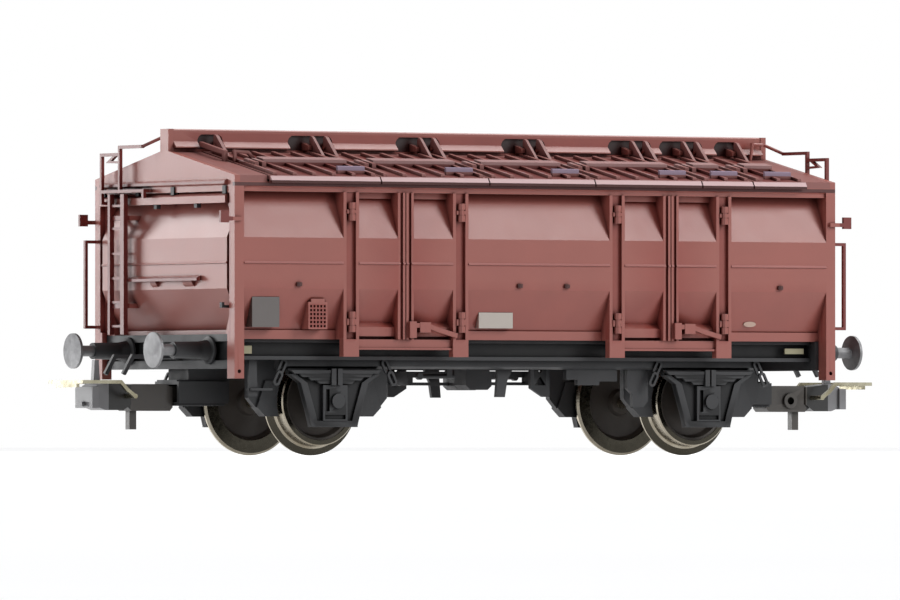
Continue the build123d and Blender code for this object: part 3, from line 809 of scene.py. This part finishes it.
def lid(x0, x1):
    """One lid, built on the far side with +X to the right as on the near side."""
    lip_in = LID_OUT - 0.35
    sheet = [(LID_IN, top(LID_IN)), (LID_OUT, top(LID_OUT)), (LID_OUT, EAVE_TOP), (EAVE_OUT, EAVE_FOOT + 0.35),
             (EAVE_OUT, EAVE_FOOT), (lip_in, EAVE_FOOT), (lip_in, top(lip_in) - LID_T),
             (LID_IN, top(LID_IN) - LID_T)]
    body = slice_x(sheet, x0, x1)
    ribbed = x1 - x0 - 2 * RIB_MARGIN
    count = round(ribbed / RIB_PITCH)
    for i in range(count + 1):
        x = x0 + RIB_MARGIN + i * ribbed / count
        body += raised(LID_IN + 1.5, LID_OUT - 0.3, RIB_H, x - RIB_W / 2, x + RIB_W / 2)
    body += raised(PLANK_IN, PLANK_OUT, PLANK_H, x0 + PLANK_ENDS[0], x1 - PLANK_ENDS[1])
    body += raised(*PLATE_Y, PLATE_H, x1 - PLATE_X[0], x1 - PLATE_X[1])
    for offset in CLEAT_X:
        x = x0 + offset
        body += raised(PLANK_IN + 0.4, PLANK_OUT + 1.4, PLANK_H - 0.15, x - CLEAT_W / 2, x + CLEAT_W / 2)
    for a0, a1 in ARMS:
        arm = [(1.5, 38.9), (1.5, 40.2), (1.55, 40.6), (1.8, 40.78), (2.2, 40.62), (4.9, top(4.9) + 0.05),
               (4.9, top(4.9) - 0.2), (LID_IN + 0.6, top(LID_IN + 0.6) - 0.2)]
        body += slice_x(arm, from_edge(x0, x1, a0), from_edge(x0, x1, a1))
    return body


# bent handle on the first lid: x, z of its middle line
HANDLE = [(-40.0, 36.9), (-40.0, 38.5), (-38.1, 38.4), (-36.6, 36.9)]
pins = []
for i, (x0, x1) in enumerate(LIDS, start=1):
    near = to_near(lid(x0, x1))
    if i == 1:
        near += slice_y(band(HANDLE, 0.4), -8.8, -8.4)
    piece(f"lid_near_{i}", [near])
    piece(f"lid_far_{i}", [turned(near)])
    for l0, l1, pin_end in LUGS:
        g0, g1 = from_edge(x0, x1, l0), from_edge(x0, x1, l1)
        lug = slice_x([(RECESS_FLOOR, 38.95), (2.25, 38.95), (2.25, 39.5), (RECESS_FLOOR, 40.0)], g0, g1)
        p1 = x0 + pin_end if l0 > 0 else x1 + pin_end
        lug += rod(((g0 + g1) / 2, PIVOT_Y, PIVOT_Z), (p1, PIVOT_Y, PIVOT_Z), PIN_R)
        pins.extend((to_near(lug), turned(to_near(lug))))
piece("lid_hinge_pins", pins)

# load floor, between the feet of the walls
floor_x = END_X - RECESS_FOOT - WALL_T
floor_y = OUT_Y - RECESS_FOOT - WALL_T
piece("load_floor", [block(-floor_x, floor_x, -floor_y, floor_y, FLOOR_Z, FLOOR_Z + FLOOR_T)])

# solebars: channels open outward, with a lower beam behind each
SOLE_LINE = [(SOLE_Y - 1.6, SOLE_FOOT), (SOLE_Y, SOLE_FOOT), (SOLE_Y, SOLE_FOOT + 0.45),
                (SOLE_Y - 1.0, SOLE_FOOT + 0.5), (SOLE_Y - 1.0, FLOOR_Z - 0.45), (SOLE_Y, FLOOR_Z - 0.4),
                (SOLE_Y, FLOOR_Z), (SOLE_Y - 1.6, FLOOR_Z)]
BEAM_LINE = [(11.6, SOLE_FOOT), (11.6, BEAM_FOOT), (12.6, BEAM_FOOT), (13.2, BEAM_FOOT + 0.3),
             (13.2, SOLE_FOOT)]
BEAM_X = 36.0
piece("solebars", [slice_x(SOLE_LINE, -STOCK_BACK, STOCK_BACK, side)
                   + slice_x(BEAM_LINE, -BEAM_X, BEAM_X, side) for side in SIDES])

# headstocks: channels open outward
STOCK_LINE = [(STOCK_BACK, STOCK_FOOT), (STOCK_X, STOCK_FOOT), (STOCK_X, 12.0),
                  (STOCK_X - 0.5, 12.1), (STOCK_X - 0.5, 14.3), (STOCK_X, 14.4),
                  (STOCK_X, STOCK_TOP), (STOCK_X - 0.65, STOCK_TOP),
                  (STOCK_X - 0.65, FLOOR_Z), (STOCK_BACK, FLOOR_Z)]
piece("headstocks", [slice_y(STOCK_LINE, -END_HALF, END_HALF, end) for end in ENDS])


# buffers: x from the middle of the wagon, radius
SLEEVE_END = 50.0
SLEEVE = [(STOCK_X - 0.5, 0), (STOCK_X - 0.5, 0.9), (STOCK_X, 0.9), (STOCK_X, 1.75),
          (STOCK_X + 0.3, 1.75), (STOCK_X + 0.5, 1.3), (STOCK_X + 1.6, 1.1), (SLEEVE_END, 1.05),
          (SLEEVE_END, 0)]
HEAD = [(SLEEVE_END, 0), (SLEEVE_END, 0.7), (BUFFER_X - 0.6, 0.7), (BUFFER_X - 0.35, 2.25), (BUFFER_X, 2.25),
        (BUFFER_X, 0)]
piece("buffer_sleeves", [along_x(SLEEVE, end, side * BUFFER_Y, BUFFER_Z) for end, side in CORNERS])
piece("buffer_heads", [along_x(HEAD, end, side * BUFFER_Y, BUFFER_Z) for end, side in CORNERS])

# axle guards: half outline as x from the axle, z
GUARD_IN = 12.5
GUARD_OUT = 13.2
GUARD_FOOT = 3.6
GUARD_HALF = [(6.7, BEAM_FOOT), (6.7, 10.3), (5.0, 9.2), (3.75, 5.2), (3.35, GUARD_FOOT)]
GUARD_RIB_W = 0.95
GUARD_RIB_H = 0.35
BOX_HALF = 1.8
BOX_FOOT = 4.4
BOX_TOP = 8.9
BOX_OUT = 13.7
LEAF_T = 0.42
LEAF_SLANT = 0.5
# half length, distance of the outer face from the middle
SPRING_LEAVES = ((6.7, 14.0), (5.5, 13.95), (4.2, 13.9), (2.9, 13.85))
BUCKLE_OUT = 14.15
CAP_R = 0.95
TIE_HALF = 3.4
# length, distance from the middle of each link of a chain
LINKS = ((2.1, 13.35), (2.0, 13.6))
LINK_START = 0.95
LINK_STEP = 1.65
LINK_LEAN = atan2(1.7, 3.4)
CHAIN_X = 7.3
guards = []
boxes = []
springs = []
shackles = []
for end, side in CORNERS:
    x = end * AXLE_X
    outline = [(x - dx, z) for dx, z in GUARD_HALF] + [(x + dx, z) for dx, z in GUARD_HALF[::-1]]
    guard = slice_y(outline, side * GUARD_IN, side * GUARD_OUT)
    rib_y = (side * (GUARD_OUT - 0.1), side * (GUARD_OUT + GUARD_RIB_H))
    for flip in (-1, 1):
        rib = [(x + flip * dx, z) for dx, z in GUARD_HALF[1:]]
        rib += [(x + flip * (dx - GUARD_RIB_W), z) for dx, z in GUARD_HALF[:0:-1]]
        guard += slice_y(rib, *rib_y)
    tie = block(x - TIE_HALF, x + TIE_HALF, *rib_y, GUARD_FOOT, BOX_FOOT)
    window = block(x - BOX_HALF, x + BOX_HALF, GUARD_IN - 1, GUARD_OUT + 2, BOX_FOOT, BOX_TOP, side)
    guards.append(guard + tie - window)

    # box with a slot at its foot, a groove beside its cap and the cap
    box = block(x - BOX_HALF, x + BOX_HALF, GUARD_IN - 0.8, BOX_OUT, BOX_FOOT, BOX_TOP, side)
    box -= block(x - 1.5, x + 1.5, BOX_OUT - 0.3, BOX_OUT + 1, BOX_FOOT + 0.2, BOX_FOOT + 0.75, side)
    box -= block(x - 1.35, x - 0.85, BOX_OUT - 0.35, BOX_OUT + 1, 5.6, 8.4, side)
    cap_z = AXLE_Z + 0.05
    boxes.append(box + rod((x + 0.3, side * BOX_OUT, cap_z), (x + 0.3, side * (BOX_OUT + 0.35), cap_z), CAP_R))

    stack = []
    for i, (half, out) in enumerate(SPRING_LEAVES):
        z = BEAM_FOOT - 0.2 - i * LEAF_T
        low = z - LEAF_T - 0.02
        leaf = [(x - half, z), (x + half, z), (x + half - LEAF_SLANT, low), (x - half + LEAF_SLANT, low)]
        stack.append(slice_y(leaf, side * GUARD_OUT, side * out))
    spring = joined(stack) + block(x - 0.8, x + 0.8, GUARD_OUT, BUCKLE_OUT, BOX_TOP, BEAM_FOOT, side)
    spring -= block(x - 0.12, x + 0.12, 13.9, 15, BOX_TOP - 1, BEAM_FOOT + 1, side)
    springs.append(spring)

    # chain of two flat links slanting away from each end of the spring
    for flip in (-1, 1):
        for i, (length, y) in enumerate(LINKS):
            along = LINK_START + i * LINK_STEP
            link = ring_link(length, 1.0, 0.31, 0.3, flip * LINK_LEAN)
            place = (x + flip * CHAIN_X + flip * along * sin(LINK_LEAN), side * y,
                     SOLE_FOOT - along * cos(LINK_LEAN))
            shackles.append(changed(link, Matrix.Translation(place)))
piece("axle_guards", guards)
piece("axleboxes", boxes)
piece("leaf_springs", springs)
piece("spring_shackles", shackles)

# wheelsets: radius, distance from the middle
FLANGE_R = TREAD_R + FLANGE_DEPTH
AXLE_LINE = [(0, 0), (AXLE_R, 0), (AXLE_R, FACE_Y + 0.5), (JOURNAL_R, FACE_Y + 0.8),
             (JOURNAL_R, JOURNAL_END), (0, JOURNAL_END)]
DISC = [(AXLE_R, BACK_Y), (HUB_R, BACK_Y), (HUB_R + 0.3, BACK_Y + 0.55),
        (RIM_R - 0.5, BACK_Y + 0.7), (RIM_R, BACK_Y + 0.3), (RIM_R, FACE_Y - 0.2),
        (RIM_R - 0.35, FACE_Y - 0.25), (RIM_R - 0.7, FACE_Y - 1.1), (HUB_R + 0.5, FACE_Y - 0.9),
        (HUB_R, FACE_Y + 0.2), (AXLE_R, FACE_Y + 0.2)]
TYRE = [(RIM_R, BACK_Y), (FLANGE_R - 0.3, BACK_Y), (FLANGE_R, BACK_Y + 0.25),
        (FLANGE_R, BACK_Y + 0.5), (TREAD_R + 0.25, BACK_Y + 0.85), (TREAD_R, BACK_Y + 1.1),
        (TREAD_R - 0.1, FACE_Y - 0.15), (TREAD_R - 0.25, FACE_Y), (RIM_R, FACE_Y)]
for end, name in NAMED_ENDS:
    x = end * AXLE_X
    piece(f"axle_{name}", [spun(AXLE_LINE, x) + spun(AXLE_LINE, x, -1)])
    piece(f"wheel_discs_{name}", [spun(DISC, x, side) for side in SIDES])
    piece(f"tyres_{name}", [spun(TYRE, x, side) for side in SIDES])

# couplers: a shaft with head swings on an upright pin in the pocket, a loop lifts on a cross pin
PIVOT_X = 42.5
SHAFT_Z = (7.0, 8.8)
LOOP_X = 52.0
LOOP_Z = 7.5
LOOP_TIP = 59.75
LOOP_HALF = 4.3
HEAD_X = (56.1, 57.1)
BOSS_X = 48.6
BOSS_Z = 7.1
LOOP_TOP = 9.3
LOOP_T = 0.45
# half width and x, z outline of each part of the head
HEAD_PARTS = (
    (1.6, [(45.0, 6.1), (45.4, 5.65), (51.0, 5.65), (51.6, 6.1), (51.9, 7.3), (51.6, 8.6), (51.0, 9.05),
           (46.0, 9.05), (45.0, 8.6)]),
    (1.3, [(PIVOT_X, SHAFT_Z[0]), (45.3, SHAFT_Z[0]), (45.3, SHAFT_Z[1]), (PIVOT_X, SHAFT_Z[1])]),
    (1.8, [(51.0, 6.6), (52.3, 5.75), (55.0, 5.75), (56.3, 6.2), (56.3, 8.8), (55.4, 9.3), (51.0, 8.9)]),
    (2.15, [(HEAD_X[0], 6.0), (HEAD_X[1], 6.0), (HEAD_X[1], 8.7), (HEAD_X[0], 8.7)]),
    (0.4, [(57.0, 6.3), (57.6, 6.3), (57.6, 6.8), (57.0, 6.8)]),
    (0.35, [(54.9, 9.0), (55.9, 9.0), (55.7, 12.1), (55.1, 12.1)]),
    (0.5, [(49.7, 3.3), (50.7, 3.3), (50.7, 6.0), (49.7, 6.0)]),
)
for end, name in NAMED_ENDS:
    head = rod((end * PIVOT_X, 0, SHAFT_Z[0]), (end * PIVOT_X, 0, SHAFT_Z[1]), 1.5)
    for half, outline in HEAD_PARTS:
        head += slice_y(outline, -half, half, end)
    head += rod((end * BOSS_X, end * -1.5, BOSS_Z), (end * BOSS_X, end * -1.95, BOSS_Z), 1.0)
    head -= rod((end * BOSS_X, end * -1.2, BOSS_Z), (end * BOSS_X, end * -2.5, BOSS_Z), 0.5)
    piece(f"coupler_head_{name}", [head])

    arm = band([(LOOP_X, LOOP_Z), (LOOP_X + 1.2, LOOP_Z + 0.85), (LOOP_X + 2.1, LOOP_TOP),
                (LOOP_TIP - 0.2, LOOP_TOP)], LOOP_T)
    loop = rod((end * LOOP_X, -LOOP_HALF, LOOP_Z), (end * LOOP_X, LOOP_HALF, LOOP_Z), 0.3)
    for side in SIDES:
        loop += slice_y(arm, side * (LOOP_HALF - LOOP_T), side * LOOP_HALF, end)
    loop += block(LOOP_TIP - 0.5, LOOP_TIP, -LOOP_HALF, LOOP_HALF, 9.08, 9.52, end=end)
    loop += block(LOOP_TIP - 0.45, LOOP_TIP, -2.7, 2.7, 8.6, 9.3, end=end)
    piece(f"coupler_loop_{name}", [loop])

# pockets that hold the shafts, hung from the floor, with a guide fork ahead
POCKET_LINE = [(37.2, 6.9), (38.0, 6.3), (44.9, 6.3), (44.9, 6.8), (38.9, 6.8), (38.9, 9.0), (44.9, 9.0),
               (44.9, 9.6), (43.2, 9.6), (43.2, FLOOR_Z), (38.2, FLOOR_Z), (37.2, 9.6)]
POCKET_HALF = 2.5
FORK = [(STOCK_X - 0.5, 12.55), (51.3, 12.55), (52.6, 10.3)]
pockets = []
for end in ENDS:
    pocket = slice_y(POCKET_LINE, -POCKET_HALF, POCKET_HALF, end)
    for side in SIDES:
        pocket += block(37.6, 44.9, POCKET_HALF, POCKET_HALF + 0.5, 6.6, 9.4, side, end)
        pocket += slice_y(band(FORK, 0.5), side * (POCKET_HALF - 0.5), side * POCKET_HALF, end)
    pocket += block(STOCK_X - 0.5, STOCK_X + 0.2, -POCKET_HALF, POCKET_HALF, 12.2, 12.9, end=end)
    pocket += rod((end * PIVOT_X, 0, 6.5), (end * PIVOT_X, 0, 9.2), 0.6)
    pockets.append(pocket)
piece("coupler_pockets", pockets)

# brake hangers with their blocks, both sides of each wheel: x from the axle, z
HANGER = [(4.0, FLOOR_Z), (10.3, FLOOR_Z), (10.3, 7.3), (9.2, 6.1), (8.0, 4.95), (5.2, 4.95),
          (5.2, 9.5), (4.0, 13.2)]
BLOCK_R = 6.3
blocks = []
for end, side in CORNERS:
    x = end * AXLE_X
    clear = rod((x, side * 8.0, AXLE_Z), (x, side * 10.5, AXLE_Z), BLOCK_R)
    for flip in (-1, 1):
        plate = slice_y([(x + flip * dx, z) for dx, z in HANGER], side * 8.5, side * 9.4)
        shoe = slice_y([(x + flip * dx, z) for dx, z in HANGER[3:7] + [(8.0, 9.5)]], side * 8.2, side * 9.8)
        blocks.append(plate + shoe - clear)
piece("brake_blocks", blocks)

# brake gear amidships, each piece hung from the floor or the lower beam: y0, y1 and x, z outline
GEAR = (
    (-11.3, -10.8, [(-2.4, FLOOR_Z), (-0.3, FLOOR_Z), (-0.3, 10.8), (-1.0, 9.5), (-1.35, 7.45), (-2.7, 7.45),
                    (-2.5, 9.7)]),
    (-6.4, -3.6, [(-4.2, FLOOR_Z), (-3.4, FLOOR_Z), (-3.4, 11.1), (-0.8, 11.1), (-0.3, 10.4), (-0.3, 8.9),
                  (-0.9, 8.4), (-3.5, 8.4), (-4.2, 9.0)]),
    (-8.3, -7.7, [(-8.2, 10.1), (-7.4, 10.1), (-7.4, FLOOR_Z), (-8.2, FLOOR_Z)]),
    (-9.4, -8.9, [(3.7, FLOOR_Z), (6.6, FLOOR_Z), (6.6, 7.5), (5.6, 7.5), (3.7, 8.6)]),
    (-12.5, -11.7, [(7.2, BEAM_FOOT), (7.2, 9.7), (8.9, 9.7), (8.9, 9.0), (12.2, 9.0), (12.2, 9.5),
                    (14.9, 9.5), (14.9, BEAM_FOOT)]),
    (-12.4, -11.8, [(16.5, BEAM_FOOT), (16.5, 8.6), (17.3, 7.9), (17.3, 6.2), (19.0, 6.2), (19.7, 7.0),
                    (19.7, BEAM_FOOT)]),
)
gear = [slice_y(outline, y0, y1) for y0, y1, outline in GEAR]
gear[2] += rod((-11.9, -8.0, 10.1), (-7.0, -8.0, 10.1), 0.3) + rod((-12.2, -8.3, 10.1), (-12.2, -7.7, 10.1), 0.45)
gear[3] -= slice_y([(4.3, 9.0), (6.0, 9.0), (5.2, 10.2)], -10, -8)
gear[3] -= slice_y([(4.3, 11.6), (6.0, 11.6), (5.2, 10.5)], -10, -8)
gear[1] += block(-0.4, 6.0, -5.5, -4.9, 10.0, 10.8) + block(-0.4, 6.0, -5.5, -4.9, 9.0, 9.4)
gear[3] += block(5.2, 6.0, -9.0, -4.9, 9.0, 10.8)
piece("brake_rigging", both_ends(gear[0], gear[1] + gear[3], gear[2], gear[4], gear[5]))

# ladders on the left end, far half, and turned for the other end: y0, y1, x0 of each stile
STILES = ((11.45, 12.0, 45.95), (7.95, 8.85, 46.0))
LADDER_X = 46.6
RUNGS = (16.47, 19.52, 22.57, 25.72, 28.92, 31.82)
STAYS = (19.06, 30.25)
LADDER_Z = (15.4, 33.3)
LADDER_Y = (STILES[1][0], STILES[0][1])
ladder = joined(block(-LADDER_X, -x0, y0, y1, *LADDER_Z) for y0, y1, x0 in STILES)
for z in RUNGS:
    ladder += block(-46.4, -46.1, *LADDER_Y, z - 0.15, z + 0.15)
for z in STAYS:
    ladder += block(-46.25, -45.9, *LADDER_Y, z - 0.3, z + 0.3)
    for y0, y1, x0 in STILES:
        ladder += block(-46.0, -(END_X - 1.6), y0, y1, z - 0.3, z + 0.3)
piece("ladders", both_ends(ladder))

# hand rails above each ladder: y, z of the middle lines
RAIL_X = (46.15, 46.6)
OUTER_RAIL = [(13.8, 32.0), (13.8, 38.36), (9.2, 38.36)]
INNER_RAIL = [(9.23, 33.4), (9.23, 39.28), (3.6, 39.28)]
RAIL_HOOK = [(9.2, 37.35), (11.9, 37.45), (10.3, 38.25)]
RAIL_W = 0.42
rails = joined(slice_x(band(path, width), -RAIL_X[1], -RAIL_X[0])
               for path, width in ((OUTER_RAIL, RAIL_W), (INNER_RAIL, RAIL_W), (RAIL_HOOK, 0.3)))
over_roof = [(-46.37, 3.6, 39.28), (-44.3, 1.95, 40.48), (-42.6, 1.95, 40.5), (-42.25, 1.95, 38.3)]
for start, stop in zip(over_roof, over_roof[1:]):
    rails += rod(start, stop, 0.21)
for x, y, z in over_roof[:3]:
    rails += block(x - 0.18, x + 0.18, y - 0.18, y + 0.18, z - 0.18, z + 0.18)
step_plate = [(LADDER_X, 33.45), (LADDER_X, 33.85), (END_X, 33.85), (END_X, 33.45)]
rails += slice_y(step_plate, 3.0, 14.0, -1)
rails += block(-LADDER_X, -(LADDER_X - 0.4), 3.0, 3.5, 32.7, 33.6)
rails += block(-LADDER_X, -(END_X - 0.1), 13.6, 14.0, 32.0, 32.4)
piece("ladder_rails", both_ends(rails))

# bar across each end with pegs, and a short lower bar on brackets: x, z outlines
UPPER_BAR = [(END_X + 0.35, 31.85), (END_X + 0.35, 32.75), (END_X - 0.1, 33.05), (END_X - 0.7, 33.05),
             (END_X - 0.7, 31.85)]
LOWER_BAR = [(END_X + 0.75, 22.1), (END_X + 0.75, 22.45), (END_X + 0.2, 22.75), (END_X + 0.2, 22.1)]
BRACKET = [(END_X - 0.1, 22.2), (END_X + 0.6, 22.2), (END_X + 0.3, 21.6), (END_X - 0.1, 21.3)]
bar = slice_y(UPPER_BAR, -END_HALF, END_HALF, -1)
# reach out of the end wall, depth in it, y of the middle, half width, foot and top
PEGS = [(0.2, 0.6, y, 0.4, 33.0, 34.0) for y in (-15.1, -2.3, 6.5, 15.0)]
PEGS += [(0.2, 0.4, y, 0.35, 31.3, 31.9) for y in (-8.1, 1.9)]
PEGS += [(0.7, 0.4, -15.2, 0.3, 18.6, 18.95), (0.7, -0.35, -15.2, 0.3, 18.6, 19.3)]
pegs = [block(-(END_X + out), -(END_X - back), y - half, y + half, z0, z1) for out, back, y, half, z0, z1 in PEGS]
for y in (-13.0, 0.0, 13.0):
    bar += block(-(END_X - 0.3), -(END_X - RECESS_TOP), y - 0.4, y + 0.4, 32.0, 32.6)
low = slice_y(LOWER_BAR, -9.3, 7.9, -1)
for y, half in ((-6.4, 1.2), (2.1, 0.7)):
    low += slice_y(BRACKET, y - half, y + half, -1)
piece("end_bars", both_ends(bar, low))
finished(joined(both_ends(*pegs)), "end_pegs", "wagon_body", "frame_plastic")

# lamp irons on the outer faces of the corner posts: x, z outline
IRON = [(END_X - 1.0, 29.55), (46.35, 29.55), (46.35, 29.3), (47.55, 29.3), (47.55, 30.8), (46.35, 30.8),
        (46.35, 30.05), (END_X - 1.0, 30.05)]
piece("lamp_irons", [slice_y(IRON, side * OUT_Y, side * (OUT_Y + 0.4), end) for end, side in CORNERS])

# upright handles beside two corners: x, z of the middle line
HANDLE_LINE = [(-END_X, 27.3), (-47.2, 27.3), (-47.2, 16.4), (-END_X, 16.4)]
piece("corner_handles", both_ends(slice_y(band(HANDLE_LINE, 0.4), 16.3, 16.75)))

# door hinges on the posts and one latch per door
KNUCKLES = ((15.6, 18.2), (29.7, 32.0))
HINGE_OUT = 0.15
KNUCKLE_H = 0.8
LEVER = [(-1.0, 16.5), (1.6, 16.5), (3.4, 15.9), (6.1, 15.2)]
LEVER_START = 1.4
hinges = []
latches = []
for side, door in SIDE_ENDS:
    for x, (z0, z1) in [(door * x, z) for x in DOOR_POST_X for z in KNUCKLES]:
        y = side * (OUT_Y + HINGE_OUT)
        hinge = octagon_rod(x, y, z0, z0 + KNUCKLE_H, 0.48) + octagon_rod(x, y, z0, z1, 0.36)
        hinge += octagon_rod(x, y, z1 - KNUCKLE_H, z1, 0.48)
        hinge += block(x - 0.68, x + 0.68, side * (OUT_Y - POST_GROOVE), y, z0 + 0.9, z1 - 0.9)
        hinges.append(hinge)
    xl = door * STRIP_X
    lever = [(xl - side * (dx + LEVER_START), z) for dx, z in LEVER]
    latch = slice_y(band(lever, 0.6), side * OUT_Y, side * (OUT_Y + 0.35))
    latch += block(xl - side * 0.3, xl - side * 1.3, OUT_Y, OUT_Y + 0.55, 14.9, 17.0, side)
    latch += block(xl - side * 1.9, xl - side * 3.5, OUT_Y - 0.8, OUT_Y + 0.4, 15.6, 16.9, side)
    latches.append(latch)
piece("door_hinges", hinges)
piece("door_latches", latches)

# rope hooks, card boxes and blank plates on the side walls
HOOK_X = (-35.9, -3.0, 4.1, 36.7)
piece("rope_hooks", [octagon_rod(x, side * (OUT_Y + 0.15), 21.35, 21.85, 0.4)
                     & block(x - 1, x + 1, OUT_Y, 20, 21, 22, side) for side in SIDES for x in HOOK_X])


def wall_y(z):
    """Distance of the lower slanted band's face from the middle at a height."""
    return OUT_Y - RECESS_FOOT * (Z_KINK_LOW - z) / (Z_KINK_LOW - PANEL_FOOT)


def on_foot(x0, x1, z0, z1, thick):
    """Upright plate standing off the lower slanted band of the near wall, wedge-shaped behind."""
    out = wall_y(z1) + thick
    return slice_x([(wall_y(z0) - 0.1, z0), (out, z0), (out, z1), (wall_y(z1) - 0.1, z1)], x0, x1, NEAR)


# card box with a grid of square pits: the first one's place, and their spacing and size
CARD_TOP = 19.4
CARD_T = 0.45
CARD_FRONT = wall_y(CARD_TOP) + CARD_T
PIT_X, PIT_Z = -34.05, 16.2
PIT_PITCH = 0.5
PIT_SIZE = 0.3
card = on_foot(-34.3, -31.5, 15.95, CARD_TOP, CARD_T) + on_foot(-33.9, -31.9, 19.3, 19.8, 0.3)
pits = [(PIT_X + PIT_PITCH * column, PIT_Z + PIT_PITCH * row) for column in range(5) for row in range(6)]
card -= joined(block(x, x + PIT_SIZE, -(CARD_FRONT + 0.1), -(CARD_FRONT - 0.25), z, z + PIT_SIZE)
               for x, z in pits)
piece("card_boxes", both_ends(card))

# blank plates: two on the wall, two on the solebar and an oval
SIGN_T = 0.08
SOLE_FACE = (-(SOLE_Y + 0.12), -(SOLE_Y - 0.1))
OVAL_X, OVAL_Z = 33.1, 16.9
oval = [(OVAL_X + 0.95 * cos(pi * i / 8), OVAL_Z + 0.35 * sin(pi * i / 8)) for i in range(16)]
piece("blank_plates", both_ends(
    on_foot(-42.5, -38.5, 16.2, 20.0, SIGN_T), on_foot(-8.4, -3.3, 16.2, 18.2, SIGN_T),
    block(-43.1, -41.05, *SOLE_FACE, 12.85, 13.85), block(39.4, 42.3, *SOLE_FACE, 13.1, 13.8),
    slice_y(oval, -15.85, -15.4)))

# foot steps under two corners
STEP_LINE = [(-40.7, SOLE_FOOT), (-39.6, SOLE_FOOT), (-39.5, 8.5), (-39.5, 7.5), (-40.7, 7.5)]
step = slice_y(STEP_LINE, -13.3, -12.9) + block(-40.6, -37.5, -13.7, -12.4, 8.2, 8.5)
piece("foot_steps", both_ends(step))


# floor, light and camera
FLOOR_LIFT = 0.75
FLOOR_HALF = 6.0
WHITE = (1.0, 1.0, 1.0, 1.0)


def stage_floor():
    """Pale floor that keeps the shadow."""
    mesh = bpy.data.meshes.new("floor")
    rim = [(-1, -1), (1, -1), (1, 1), (-1, 1)]
    mesh.from_pydata([(FLOOR_HALF * x, FLOOR_HALF * y, 0) for x, y in rim], [], [(0, 1, 2, 3)])
    obj = placed("floor", mesh)
    mat, tree, shader = new_material("floor_pale")
    speck = noise(tree, 40, 2)
    tone = ramp(tree, speck, [(0.3, grey(0.72)), (0.7, grey(0.78))])
    tree.links.new(tone, shader.inputs["Base Color"])
    shader.inputs["Roughness"].default_value = 0.9
    shader.inputs["Specular IOR Level"].default_value = 0.1
    # seen straight or in a gloss the floor is lifted to white, and still darkens in the shadow
    rays = add_node(tree, "LightPath").outputs
    seen = calc(tree, "MAXIMUM", rays["Is Camera Ray"], rays["Is Glossy Ray"])
    shader.inputs["Emission Color"].default_value = WHITE
    tree.links.new(calc(tree, "MULTIPLY", seen, FLOOR_LIFT), shader.inputs["Emission Strength"])
    mesh.materials.append(mat)


stage_floor()

world = bpy.data.worlds.new("studio")
scene.world = world
world.use_nodes = True
wt = world.node_tree
wt.nodes.clear()
w_mix = add_node(wt, "MixShader")
rays = add_node(wt, "LightPath").outputs
seen = calc(wt, "MAXIMUM", rays["Is Camera Ray"], rays["Is Glossy Ray"])
wt.links.new(calc(wt, "MAXIMUM", seen, rays["Is Transmission Ray"]), w_mix.inputs["Fac"])
# pale light on the object, plain white behind it
for place, color, strength in ((1, (0.93, 0.95, 1.0, 1.0), 0.22), (2, WHITE, 1.0)):
    background = add_node(wt, "Background")
    background.inputs["Color"].default_value = color
    background.inputs["Strength"].default_value = strength
    wt.links.new(background.outputs[0], w_mix.inputs[place])
wt.links.new(w_mix.outputs[0], add_node(wt, "OutputWorld").inputs["Surface"])


# name, place, height aimed at over the middle, size, watts
LAMPS = (
    ("far_left", (-0.36, 0.7, 0.6), 0.6, (0.22, 1.2), 6.4),
    ("front_right_high", (0.35, -0.42, 0.34), 0.02, (0.24, 0.3), 1.65),
    ("overhead", (0.3, 0.06, 0.56), 0.02, (0.3, 0.3), 1.6),
)
for name, place, aim_z, size, watts in LAMPS:
    lamp = bpy.data.lights.new(name, "AREA")
    lamp.shape = "RECTANGLE"
    lamp.size, lamp.size_y = size
    lamp.energy = watts
    obj = placed(name, lamp)
    obj.location = place
    obj.rotation_euler = (Vector((0, 0, aim_z)) - Vector(place)).to_track_quat("-Z", "Y").to_euler()

# camera fitted to the picture, whose own lengths are in pixels
THETA = radians(31.923)
DISTANCE = 1.64936
FOCAL = 12810.94
WIDTH, HEIGHT = 900, 600
SENSOR = 36.0
EYE_Z = 0.0012
MIDDLE_X, FOOT_Y = 467.2, 446.8
PIXELS_PER_MM = 7.767
RAIL_Z = 1.1
cam_data = bpy.data.cameras.new("camera")
cam_data.lens = FOCAL / WIDTH * SENSOR
cam_data.sensor_width = SENSOR
cam_data.clip_end = 20.0
cam = placed("camera", cam_data)
forward = Vector((sin(THETA), cos(THETA), 0.0))
right = Vector((cos(THETA), -sin(THETA), 0.0))
eye = -forward * DISTANCE
eye.z = EYE_Z
# the picture's middle lies left of and above the point straight ahead
off_right = (WIDTH / 2 - MIDDLE_X) / FOCAL
off_up = (FOOT_Y - (EYE_Z * 1000 - RAIL_Z) * PIXELS_PER_MM - HEIGHT / 2) / FOCAL
look = (forward + right * off_right + Vector((0, 0, 1)) * off_up).normalized()
cam.location = eye
cam.rotation_euler = look.to_track_quat("-Z", "Y").to_euler()
scene.camera = cam
scene.view_settings.view_transform = "Standard"
